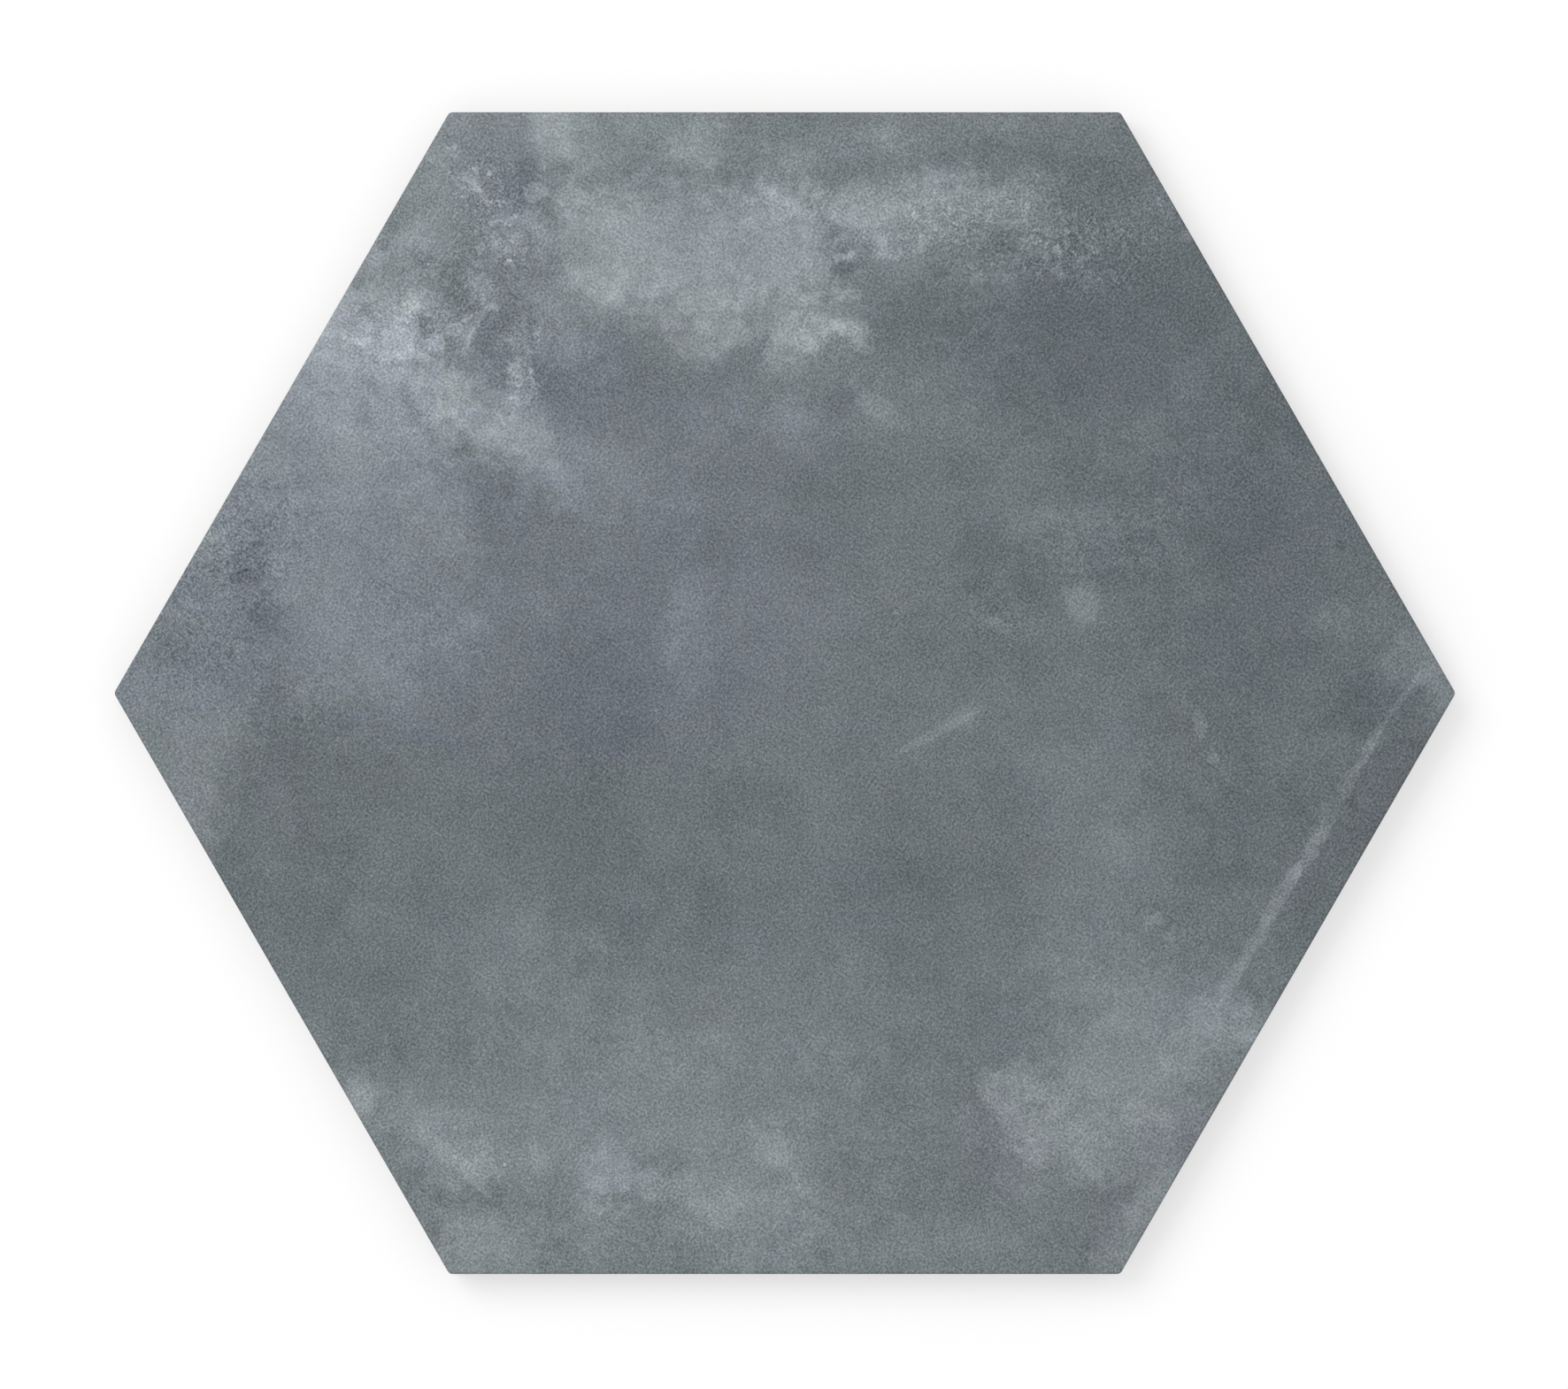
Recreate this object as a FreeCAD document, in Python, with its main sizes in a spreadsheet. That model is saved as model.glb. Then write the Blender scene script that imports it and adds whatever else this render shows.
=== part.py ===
import FreeCAD, Part
import math
import os
import Sketcher

# A six-sided porcelain floor tile: one piece, dry pressed in a die, printed, glazed and fired.
# It lies face up. The origin is the centre of its back, +Z points out of the face,
# X runs from corner to corner and Y from flat to flat. Sizes are in millimetres and degrees.
#
# The face is flat with a small rounded edge. The sides lean in a little towards the back,
# as the die lets the pressed tile go, and end in a bevel. The back is a honeycomb of shallow
# cells between low ribs, which the adhesive fills and grips, inside a plain rim.

SIZES = [
    ("across_flats", 250.0, "width of the face between two opposite sides"),
    ("thickness", 9.0, "from the back ribs to the face"),
    ("corner_radius", 1.2, "rounding of the six upright corners, seen from above"),
    ("arris_radius", 0.6, "rounding between the face and the sides"),
    ("side_draft", 0.5, "lean of the sides, in degrees"),
    ("back_bevel", 0.7, "bevel between the sides and the back"),
    ("rim_width", 8.0, "least width of the plain rim around the cells"),
    ("cell_width", 26.0, "width of a cell's mouth between two opposite sides"),
    ("rib_width", 3.0, "width of a rib's top between two cells"),
    ("key_depth", 0.7, "depth of the cells below the ribs"),
    ("key_draft", 20.0, "lean of the ribs' flanks, in degrees"),
    ("cell_corner_radius", 2.0, "rounding of a cell's corners, seen from behind"),
]

SIDES = 6
LATTICES = 3
FULL_TURN = 360
TURN = FULL_TURN / SIDES
FACING_X = 0
FACING_Y = FULL_TURN / 4
LEVEL = 1e-6
NODE = "hexagon_tile"
CELL_PITCH = "Sizes.cell_width + Sizes.rib_width"
START, END, CENTRE = range(1, 4)
ORIGIN = -START


def make_sheet(doc):
    """Puts every driving dimension in the sheet, one row each, under its own alias."""
    sheet = doc.addObject("Spreadsheet::Sheet", "Sizes")
    for row, (alias, value, meaning) in enumerate(SIZES, start=1):
        sheet.set(f"A{row}", str(value))
        sheet.setAlias(f"A{row}", alias)
        sheet.set(f"B{row}", meaning)
    doc.recompute()
    return sheet


def origin_part(body, role):
    """The body's own origin plane or axis with that role."""
    return next(o for o in body.Origin.OriginFeatures if o.Role == role)


def on_circle(radius, degrees):
    """The point of a circle round the origin at that angle."""
    angle = math.radians(degrees)
    return FreeCAD.Vector(radius * math.cos(angle), radius * math.sin(angle), 0)


def bind(sketch, rule, name, expression):
    """Adds a sized constraint to the sketch and ties it to the sheet."""
    sketch.renameConstraint(sketch.addConstraint(rule), name)
    sketch.setExpression(f"Constraints.{name}", expression)


def hexagon(body, sheet, name, width, rounding, faces):
    """A sketch of a regular hexagon whose inscribed circle is centred on the sketch's origin.

    width and rounding are the aliases of the size between opposite sides and of the corners'
    radius. faces is the way the first side faces.
    """
    sketch = body.newObject("Sketcher::SketchObject", name)
    sketch.AttachmentSupport = (origin_part(body, "XY_Plane"), "")
    sketch.MapMode = "FlatFace"
    half = getattr(sheet, width) / 2
    radius = getattr(sheet, rounding)
    corner_reach = (half - radius) / math.cos(math.radians(TURN / 2))
    upward = FreeCAD.Vector(0, 0, 1)

    lines, arcs = [], []
    for turn in range(SIDES):
        out = faces + turn * TURN
        first = on_circle(corner_reach, out - TURN / 2)
        last = on_circle(corner_reach, out + TURN / 2)
        shift = on_circle(radius, out)
        lines.append(sketch.addGeometry(Part.LineSegment(first + shift, last + shift)))
        corner = Part.Circle(last, upward, radius)
        start, end = math.radians(out), math.radians(out + TURN)
        arcs.append(sketch.addGeometry(Part.ArcOfCircle(corner, start, end)))
    inner = sketch.addGeometry(Part.Circle(FreeCAD.Vector(), upward, half), True)

    rules = [Sketcher.Constraint("Coincident", inner, CENTRE, ORIGIN, START)]
    rules.append(Sketcher.Constraint("Vertical" if faces == FACING_X else "Horizontal", lines[0]))
    for turn in range(SIDES):
        following = (turn + 1) % SIDES
        rules.append(Sketcher.Constraint("Tangent", lines[turn], inner))
        rules.append(Sketcher.Constraint("Tangent", lines[turn], END, arcs[turn], START))
        rules.append(Sketcher.Constraint("Tangent", arcs[turn], END, lines[following], START))
        if following:
            rules.append(Sketcher.Constraint("Equal", lines[turn], lines[following]))
            rules.append(Sketcher.Constraint("Equal", arcs[turn], arcs[following]))
    sketch.addConstraint(rules)
    bind(sketch, Sketcher.Constraint("Diameter", inner, 2 * half), "width", f"Sizes.{width}")
    bind(sketch, Sketcher.Constraint("Radius", arcs[0], radius), "rounding", f"Sizes.{rounding}")
    return sketch


def edges_at(shape, height):
    """The names of the edges that lie level at one height."""
    ends = [(edge.BoundBox.ZMin, edge.BoundBox.ZMax) for edge in shape.Edges]
    return [f"Edge{number}" for number, (low, high) in enumerate(ends, start=1)
            if abs(low - height) < LEVEL and abs(high - height) < LEVEL]


def rising_faces(shape):
    """The names of the faces that reach from one height to another."""
    return [f"Face{number}" for number, face in enumerate(shape.Faces, start=1)
            if face.BoundBox.ZLength > LEVEL]


def face_at(shape, height):
    """The name of the face that lies level at one height."""
    return next(f"Face{number}" for number, face in enumerate(shape.Faces, start=1)
                if abs(face.BoundBox.ZMin - height) < LEVEL)


def dress(body, kind, name, base, places, size, expression):
    """Leans faces, or rounds or bevels edges, of the base feature by a size of the sheet."""
    feature = body.newObject(f"PartDesign::{kind}", name)
    feature.Base = (base, places)
    feature.setExpression(size, expression)
    return feature


def press_blank(body, sheet):
    """The plain tile: a hexagon pressed to thickness, with leaning sides and dressed edges."""
    doc = body.Document
    outline = hexagon(body, sheet, "face_outline", "across_flats", "corner_radius", FACING_Y)
    blank = body.newObject("PartDesign::Pad", "blank")
    blank.Profile = outline
    blank.setExpression("Length", "Sizes.thickness")
    doc.recompute()

    lean = dress(body, "Draft", "leaning_sides", blank, rising_faces(blank.Shape),
                 "Angle", "Sizes.side_draft * 1 deg")
    lean.NeutralPlane = (blank, [face_at(blank.Shape, sheet.thickness)])
    lean.Reversed = True
    doc.recompute()

    bevel = dress(body, "Chamfer", "back_bevel", lean, edges_at(lean.Shape, 0),
                  "Size", "Sizes.back_bevel")
    doc.recompute()
    dress(body, "Fillet", "face_arris", bevel, edges_at(bevel.Shape, sheet.thickness),
          "Radius", "Sizes.arris_radius")
    doc.recompute()


def ring_count(sheet):
    """How many rings of whole cells fit round the middle one, inside the rim."""
    side_lean = sheet.thickness * math.tan(math.radians(sheet.side_draft))
    flat_back = sheet.across_flats / 2 - side_lean - sheet.back_bevel
    slant = math.cos(math.radians(TURN / 2))
    cell_reach = sheet.cell_width / 2 / slant
    ring_step = (sheet.cell_width + sheet.rib_width) * slant
    return math.floor((flat_back - sheet.rim_width - cell_reach) / ring_step)


def key_cell(body, sheet, name, steps_out):
    """The pocket of one cell, so many cells out along the X axis, and its outline."""
    outline = hexagon(body, sheet, f"{name}_outline", "cell_width", "cell_corner_radius", FACING_X)
    outline.setExpression("AttachmentOffset.Base.x", f"{steps_out} * ({CELL_PITCH})")
    cell = body.newObject("PartDesign::Pocket", name)
    cell.Profile = outline
    cell.Reversed = True
    cell.setExpression("Length", "Sizes.key_depth")
    cell.setExpression("TaperAngle", "-Sizes.key_draft * 1 deg")
    return outline, cell


def lattice_way(sketch, sheet, name, degrees):
    """Adds a line to the sketch that shows the lattice's way from one cell to the next."""
    pitch = sheet.cell_width + sheet.rib_width
    way = sketch.addGeometry(Part.LineSegment(FreeCAD.Vector(), on_circle(pitch, degrees)), True)
    sketch.addConstraint(Sketcher.Constraint("Coincident", way, START, ORIGIN, START))
    if degrees:
        sketch.addConstraint(Sketcher.Constraint("Angle", way, math.radians(degrees)))
    else:
        sketch.addConstraint(Sketcher.Constraint("Horizontal", way))
    bind(sketch, Sketcher.Constraint("Distance", way, pitch), name, CELL_PITCH)


def press_honeycomb(body, sheet):
    """The middle cell, and the rings round it as one slanted lattice repeated three times."""
    key_cell(body, sheet, "middle_cell", 0)
    rings = ring_count(sheet)
    if not rings:
        return
    outline, cell = key_cell(body, sheet, "next_cell", 1)
    lattice_way(outline, sheet, "outward_pitch", 0)
    lattice_way(outline, sheet, "slanted_pitch", FULL_TURN / LATTICES)

    honeycomb = body.newObject("PartDesign::MultiTransform", "honeycomb")
    steps = []
    for name, axis, count in (("outward", "Axis0", rings), ("slanted", "Axis1", rings + 1)):
        way = body.newObject("PartDesign::LinearPattern", name)
        way.Direction = (outline, [axis])
        way.Mode = "Spacing"
        way.setExpression("Offset", CELL_PITCH)
        way.Occurrences = count
        steps.append(way)
    around = body.newObject("PartDesign::PolarPattern", "around")
    around.Axis = (origin_part(body, "Z_Axis"), [""])
    around.Angle = FULL_TURN
    around.Occurrences = LATTICES
    honeycomb.Originals = [cell]
    honeycomb.Transformations = steps + [around]
    body.Tip = honeycomb


def cell_count(sheet):
    """How many cells the honeycomb has."""
    rings = ring_count(sheet)
    return 1 + LATTICES * rings * (rings + 1)


def check(doc, body, sheet):
    """Stops if a feature failed, the tile isn't one closed solid, or a cell is missing."""
    failed = [o.Name for o in doc.Objects if {"Invalid", "Error"} & set(o.State)]
    if failed:
        raise RuntimeError(f"these features failed: {failed}")
    shape = body.Shape
    if shape.isNull() or not shape.isValid() or len(shape.Solids) != 1:
        raise RuntimeError("the tile is not one valid solid")
    floors = [face for face in shape.Faces if abs(face.BoundBox.ZMin - sheet.key_depth) < LEVEL
              and face.BoundBox.ZLength < LEVEL]
    if len(floors) != cell_count(sheet):
        raise RuntimeError(f"{len(floors)} cells were pressed, not {cell_count(sheet)}")


def main():
    doc = FreeCAD.newDocument("HexagonTile")
    sheet = make_sheet(doc)
    body = doc.addObject("PartDesign::Body", NODE)
    body.Label = NODE
    press_blank(body, sheet)
    press_honeycomb(body, sheet)
    doc.recompute()
    check(doc, body, sheet)
    os.makedirs("parts", exist_ok=True)
    body.Shape.exportStep(f"parts/{NODE}.step")


main()
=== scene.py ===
import math

import bmesh
import bpy
from bpy.props import FloatProperty, FloatVectorProperty, IntProperty, PointerProperty
from mathutils import Matrix, Vector


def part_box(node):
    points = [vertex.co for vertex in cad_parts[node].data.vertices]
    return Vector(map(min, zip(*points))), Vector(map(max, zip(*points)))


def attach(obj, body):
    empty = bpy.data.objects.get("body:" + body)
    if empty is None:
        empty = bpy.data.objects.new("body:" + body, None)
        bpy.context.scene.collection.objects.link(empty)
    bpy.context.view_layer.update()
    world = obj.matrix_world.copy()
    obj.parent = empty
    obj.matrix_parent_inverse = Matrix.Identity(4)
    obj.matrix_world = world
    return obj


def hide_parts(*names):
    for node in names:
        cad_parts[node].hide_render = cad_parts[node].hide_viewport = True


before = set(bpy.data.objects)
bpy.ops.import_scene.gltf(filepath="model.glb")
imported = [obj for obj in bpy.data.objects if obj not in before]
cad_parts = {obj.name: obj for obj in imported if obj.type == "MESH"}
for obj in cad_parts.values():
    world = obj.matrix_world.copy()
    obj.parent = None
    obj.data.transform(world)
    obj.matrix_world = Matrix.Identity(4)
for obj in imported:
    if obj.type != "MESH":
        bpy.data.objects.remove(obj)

bl_info = {
    "name": "Hexagon Floor Tile",
    "version": (1, 0, 0),
    "blender": (4, 5, 0),
    "location": "3D View > Sidebar > Tile",
    "description": "Presses, prints and lays a six-sided cement-look porcelain floor tile",
    "category": "Add Mesh",
}

# The tile lies face up. The origin is the centre of its back, +Z points out of the face,
# X runs from corner to corner and Y from flat to flat. Meshes are in metres. The print's
# marks are in millimetres from the centre of the face, and in steps of its 0 to 255 scale.

NODE = "hexagon_tile"
LOW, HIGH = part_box(NODE)
SIDES = 6
TURN = math.tau / SIDES
SLANT = math.cos(TURN / 2)
MM = 0.001
STEPS = 255
TINY = 1e-6
PRINT, FLECKED = "print", "flecked"
FACE, BODY, BACK = range(3)

# How finely the section's edges, the tile's corners and a cell are rounded
EDGE_STEPS, CORNER_STEPS = 4, 6
CELL_EDGE_STEPS, CELL_CORNER_STEPS, CELL_SIDE_STEPS = 2, 4, 6
MOUTH_ROUNDING, FOOT_ROUNDING = 0.0002, 0.00025

# The face's sheet ends so far inside the outline and the band round it starts so far inside;
# the back's plain rim starts so far inside the bevel.
SHEET_INSET, BAND_INSET, RIM_INSET = 0.002, 0.001, 0.0004

# The waves die out over this width by the sheet's border. Cells are welded at this distance.
FADE_WIDTH, WELD = 0.012, 0.00001

# The floor's opening lies this far inside the tile's outline, and the floor reaches this far.
OPENING_INSET, FLOOR_REACH = 0.001, 4
LAMP_PLACE, LAMP_WIDTH = (-1.5, 1.3, 2.3), 2.0
LENS_SHIFT = (-0.00017, -0.00029)

# Sockets of a colour mix
MIX_FIRST, MIX_SECOND, MIX_RESULT = 6, 7, 2


class TileSizes(bpy.types.PropertyGroup):
    """The tile's own sizes."""

    across_flats: FloatProperty(
        name="Across flats", description="Width of the face between two opposite sides",
        default=0.25, min=0.1, unit="LENGTH", precision=4)
    thickness: FloatProperty(
        name="Thickness", description="From the back ribs to the face",
        default=HIGH.z - LOW.z, min=0.005, unit="LENGTH", precision=4)
    corner_radius: FloatProperty(
        name="Corner radius", description="Rounding of the six upright corners",
        default=0.0012, unit="LENGTH", precision=4)
    arris_radius: FloatProperty(
        name="Arris radius", description="Rounding between the face and the sides",
        default=0.0006, unit="LENGTH", precision=4)
    side_draft: FloatProperty(
        name="Side draft", description="Lean of the sides towards the back",
        default=math.radians(0.5), subtype="ANGLE")
    back_bevel: FloatProperty(
        name="Back bevel", description="Bevel between the sides and the back",
        default=0.0007, unit="LENGTH", precision=4)
    worn_edge: FloatProperty(
        name="Soft edge", description="Rounding that the die leaves on the bevel's edges",
        default=0.00015, unit="LENGTH", precision=5)
    cell_width: FloatProperty(
        name="Cell width", description="Width of a back cell's mouth between two opposite sides",
        default=0.026, unit="LENGTH", precision=4)
    rib_width: FloatProperty(
        name="Rib width", description="Width of the ribs between the cells",
        default=0.003, unit="LENGTH", precision=4)
    key_depth: FloatProperty(
        name="Key depth", description="Depth of the cells below the ribs",
        default=0.0007, unit="LENGTH", precision=4)
    key_draft: FloatProperty(
        name="Key draft", description="Lean of the ribs' flanks",
        default=math.radians(20), subtype="ANGLE")
    cell_corner_radius: FloatProperty(
        name="Cell corner radius", description="Rounding of a cell's corners",
        default=0.002, unit="LENGTH", precision=4)
    cell_rings: IntProperty(
        name="Cell rings", description="Rings of cells round the middle one", default=4, min=1)
    face_splits: IntProperty(
        name="Face splits", description="How often the face's mesh is divided",
        default=7, min=3, max=7)
    ripple_depth: FloatProperty(
        name="Ripple depth", description="Depth of the fired face's slight waves",
        default=0.00006, unit="LENGTH", precision=5)
    ripple_size: FloatProperty(
        name="Ripple size", description="Width of the fired face's slight waves",
        default=0.022, unit="LENGTH", precision=3)
    seed: IntProperty(name="Seed", description="Which waves the face gets", default=7)


class TileFinish(bpy.types.PropertyGroup):
    """The tile's print, glaze and body."""

    moss_grey: FloatVectorProperty(
        name="Moss grey", description="Greenish tone of the print at its middle level",
        subtype="COLOR_GAMMA", default=(110 / STEPS, 119 / STEPS, 122 / STEPS))
    slate_blue: FloatVectorProperty(
        name="Slate blue", description="Bluish tone of the print at its middle level",
        subtype="COLOR_GAMMA", default=(110 / STEPS, 117 / STEPS, 125 / STEPS))
    clay_grey: FloatVectorProperty(
        name="Clay grey", description="Warmest tone of the print at its middle level",
        subtype="COLOR_GAMMA", default=(110 / STEPS, 115 / STEPS, 121 / STEPS))
    body_grey: FloatVectorProperty(
        name="Body grey", description="Fired body on the sides and the back",
        subtype="COLOR_GAMMA", default=(134 / STEPS, 133 / STEPS, 130 / STEPS))
    kiln_wash: FloatVectorProperty(
        name="Kiln wash", description="Pale parting wash rubbed on the back's ribs",
        subtype="COLOR_GAMMA", default=(196 / STEPS, 193 / STEPS, 187 / STEPS))
    grain: FloatProperty(
        name="Grain", description="Strength of the print's fine grain, in colour steps",
        default=21.0, min=0)
    clouding: FloatProperty(
        name="Clouding", description="Strength of the print's loose mottling, in colour steps",
        default=4.5, min=0)
    face_roughness: FloatProperty(
        name="Face roughness", description="Roughness of the matt glaze",
        default=0.62, min=0, max=1, subtype="FACTOR")
    body_roughness: FloatProperty(
        name="Body roughness", description="Roughness of the bare fired body",
        default=0.85, min=0, max=1, subtype="FACTOR")


class StageSettings(bpy.types.PropertyGroup):
    """The floor, the light and the camera."""

    sky: FloatProperty(
        name="Sky", description="Strength of the even light from all round", default=0.72, min=0)
    lamp_power: FloatProperty(
        name="Lamp power", description="Power of the soft lamp",
        default=28.0, min=0, unit="POWER")
    camera_height: FloatProperty(
        name="Camera height", description="Height of the lens above the tile's face",
        default=1.2644, unit="LENGTH")
    lens: FloatProperty(
        name="Lens", description="Focal length of the lens in millimetres",
        default=135.0, unit="CAMERA")


# Small helpers for meshes

def corner_arc(before, corner, after, radius, steps):
    """Points of the arc that rounds a corner of a section, from its first side to its second."""
    corner = Vector(corner)
    first = (Vector(before) - corner).normalized()
    second = (Vector(after) - corner).normalized()
    half = first.angle(second) / 2
    centre = corner + (first + second).normalized() * radius / math.sin(half)
    start = corner + first * radius / math.tan(half) - centre
    end = corner + second * radius / math.tan(half) - centre
    sweep = math.pi - 2 * half
    if start.x * end.y - start.y * end.x < 0:
        sweep = -sweep
    points = []
    for step in range(steps + 1):
        angle = sweep * step / steps
        turned = Vector((start.x * math.cos(angle) - start.y * math.sin(angle),
                         start.x * math.sin(angle) + start.y * math.cos(angle)))
        points.append(centre + turned)
    return points


def rounded_section(corners, steps):
    """A section's points; each corner has its place, its radius and its arc's steps are shared."""
    points = [Vector(corners[0][:2])]
    for before, corner, after in zip(corners, corners[1:], corners[2:]):
        points += corner_arc(before[:2], corner[:2], after[:2], corner[2], steps)
    return points + [Vector(corners[-1][:2])]


def hexagon_loop(half_width, rounding, height, per_side, arc_steps, first_corner):
    """Points round a hexagon from the middle of one corner, the same number along each side.

    half_width is the inscribed circle's radius. Without rounding they are evenly spaced.
    """
    reach = (half_width - rounding) / SLANT
    points = []
    for side in range(SIDES):
        middle = first_corner + side * TURN
        here = Vector((math.cos(middle), math.sin(middle))) * reach
        there = Vector((math.cos(middle + TURN), math.sin(middle + TURN))) * reach
        shift = Vector((math.cos(middle + TURN / 2), math.sin(middle + TURN / 2))) * rounding
        arc = arc_steps if rounding > 0 else 0
        straight = per_side - arc
        for step in range(arc // 2):
            angle = middle + TURN / 2 * step / (arc / 2)
            points.append(here + Vector((math.cos(angle), math.sin(angle))) * rounding)
        for step in range(straight + 1):
            points.append((here + shift).lerp(there + shift, step / straight))
        for step in range(1, arc // 2):
            angle = middle + TURN / 2 + TURN / 2 * step / (arc / 2)
            points.append(there + Vector((math.cos(angle), math.sin(angle))) * rounding)
        if not arc:
            points.pop()
    return [Vector((point.x, point.y, height)) for point in points]


def bridge(mesh, first, second, slot):
    """Joins two closed loops of as many vertices each with a band of four-sided faces."""
    count = len(first)
    for index in range(count):
        following = (index + 1) % count
        corners = (first[index], first[following], second[following], second[index])
        face = mesh.faces.new(corners)
        face.material_index = slot


def border_loop(mesh, faces):
    """The vertices on the outer border of some faces, by their angle round the centre."""
    inside = set(faces)
    border = {vertex for face in faces for edge in face.edges for vertex in edge.verts
              if sum(neighbour in inside for neighbour in edge.link_faces) == 1}
    return sorted(border, key=lambda v: math.atan2(v.co.y, v.co.x) % (math.tau - TINY))


def loop_edges(mesh, loop):
    """The edges between the neighbours of a closed loop of vertices."""
    return [mesh.edges.get((loop[index - 1], loop[index])) for index in range(len(loop))]


def fill_between(mesh, edges, facing, slot):
    """Fills the flat ring between two borders with triangles."""
    filled = bmesh.ops.triangle_fill(mesh, edges=edges, use_beauty=True, use_dissolve=False,
                                     normal=facing)
    for item in filled["geom"]:
        if isinstance(item, bmesh.types.BMFace):
            item.material_index = slot


def evaluated_mesh(name, mesh, tree, values):
    """What a node tree makes of a mesh, as a plain mesh."""
    piece = bpy.data.objects.new(name, mesh)
    bpy.context.scene.collection.objects.link(piece)
    modifier = piece.modifiers.new(name, "NODES")
    modifier.node_group = tree
    sockets = {item.name: item.identifier for item in tree.interface.items_tree
               if item.item_type == "SOCKET" and item.in_out == "INPUT"}
    for key, value in values.items():
        modifier[sockets[key]] = value
    made = bpy.data.meshes.new_from_object(
        piece.evaluated_get(bpy.context.evaluated_depsgraph_get()))
    bpy.data.objects.remove(piece)
    if not made.polygons:
        raise RuntimeError(f"the tree {tree.name} made no faces")
    return made


# Small helpers for node trees

def feed(tree, socket, value):
    """Wires a socket to another one, or sets its value."""
    if isinstance(value, bpy.types.NodeSocket):
        tree.links.new(value, socket)
    else:
        socket.default_value = value


def add(tree, kind, *values, out=0, named=None, **settings):
    """Adds a node, feeds its inputs in order and by name, and gives one of its outputs."""
    node = tree.nodes.new(kind)
    for name, value in settings.items():
        setattr(node, name, value)
    for socket, value in zip(node.inputs, values):
        feed(tree, socket, value)
    for name, value in (named or {}).items():
        feed(tree, node.inputs[name], value)
    return node.outputs[out]


def maths(tree, operation, *values, clamp=False):
    """One sum."""
    return add(tree, "ShaderNodeMath", *values, operation=operation, use_clamp=clamp)


def vectors(tree, operation, *values, out=0):
    """One sum on vectors."""
    return add(tree, "ShaderNodeVectorMath", *values, operation=operation, out=out)


def smooth(tree, value, *bounds):
    """A smooth step from nought to one, or between two other levels, across two bounds."""
    return add(tree, "ShaderNodeMapRange", value, *bounds, interpolation_type="SMOOTHSTEP")


def separated(tree, place):
    """The three parts of a place."""
    return add(tree, "ShaderNodeSeparateXYZ", place).node.outputs


def hexagon_reach(tree, place):
    """How far out a place lies, square to the nearest side of the hexagon."""
    parts = separated(tree, place)
    across = maths(tree, "ABSOLUTE", parts["X"])
    along = maths(tree, "ABSOLUTE", parts["Y"])
    slanted = maths(tree, "MULTIPLY_ADD", across, SLANT, maths(tree, "MULTIPLY", along, 0.5))
    return maths(tree, "MAXIMUM", along, slanted)


def new_tree(name, kind, inputs, outputs):
    """An empty group with these sockets, and the node that gives its inputs."""
    tree = bpy.data.node_groups.new(name, kind)
    for label, socket, default in inputs:
        item = tree.interface.new_socket(label, in_out="INPUT", socket_type=socket)
        if default is not None:
            item.default_value = default
    for label, socket in outputs:
        tree.interface.new_socket(label, in_out="OUTPUT", socket_type=socket)
    return tree, tree.nodes.new("NodeGroupInput").outputs


def finish_tree(tree, **results):
    """Wires the group's outputs."""
    end = tree.nodes.new("NodeGroupOutput")
    for name, value in results.items():
        feed(tree, end.inputs[name], value)


# The trees that make the face and the back

def face_tree():
    """A six-sided sheet with slight waves that die out towards its border."""
    tree, given = new_tree("glazed_face", "GeometryNodeTree", [
        ("Reach", "NodeSocketFloat", 0.14), ("Splits", "NodeSocketInt", 6),
        ("Height", "NodeSocketFloat", 0.009), ("Depth", "NodeSocketFloat", 0.00005),
        ("Width", "NodeSocketFloat", 0.02), ("Seed", "NodeSocketInt", 1),
        ("Finish", "NodeSocketMaterial", None)], [("Geometry", "NodeSocketGeometry")])
    sheet = add(tree, "GeometryNodeMeshCircle", SIDES, given["Reach"], fill_type="TRIANGLE_FAN")
    sheet = add(tree, "GeometryNodeSubdivideMesh", sheet, given["Splits"])
    place = add(tree, "GeometryNodeInputPosition")
    border = maths(tree, "MULTIPLY", given["Reach"], SLANT)
    fade = smooth(tree, maths(tree, "SUBTRACT", border, hexagon_reach(tree, place)),
                  0.0, FADE_WIDTH)
    waves = add(tree, "ShaderNodeTexNoise", noise_dimensions="4D", named={
        "Vector": place, "W": given["Seed"],
        "Scale": maths(tree, "DIVIDE", 1.0, given["Width"]), "Detail": 2.0})
    drop = maths(tree, "MULTIPLY", maths(tree, "MULTIPLY", waves, fade), given["Depth"])
    height = maths(tree, "SUBTRACT", given["Height"], drop)
    parts = separated(tree, place)
    lifted = add(tree, "ShaderNodeCombineXYZ", parts["X"], parts["Y"], height)
    sheet = add(tree, "GeometryNodeSetPosition", sheet, named={"Position": lifted})
    soft, flecked = soft_print(tree, place)
    for name, kind, value in ((PRINT, "FLOAT_VECTOR", soft), (FLECKED, "FLOAT", flecked)):
        sheet = add(tree, "GeometryNodeStoreNamedAttribute", sheet, data_type=kind,
                    domain="POINT", named={"Name": name, "Value": value})
    sheet = add(tree, "GeometryNodeRealizeInstances", sheet)
    sheet = add(tree, "GeometryNodeSetMaterial", sheet, named={"Material": given["Finish"]})
    finish_tree(tree, Geometry=sheet)
    return tree


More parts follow.
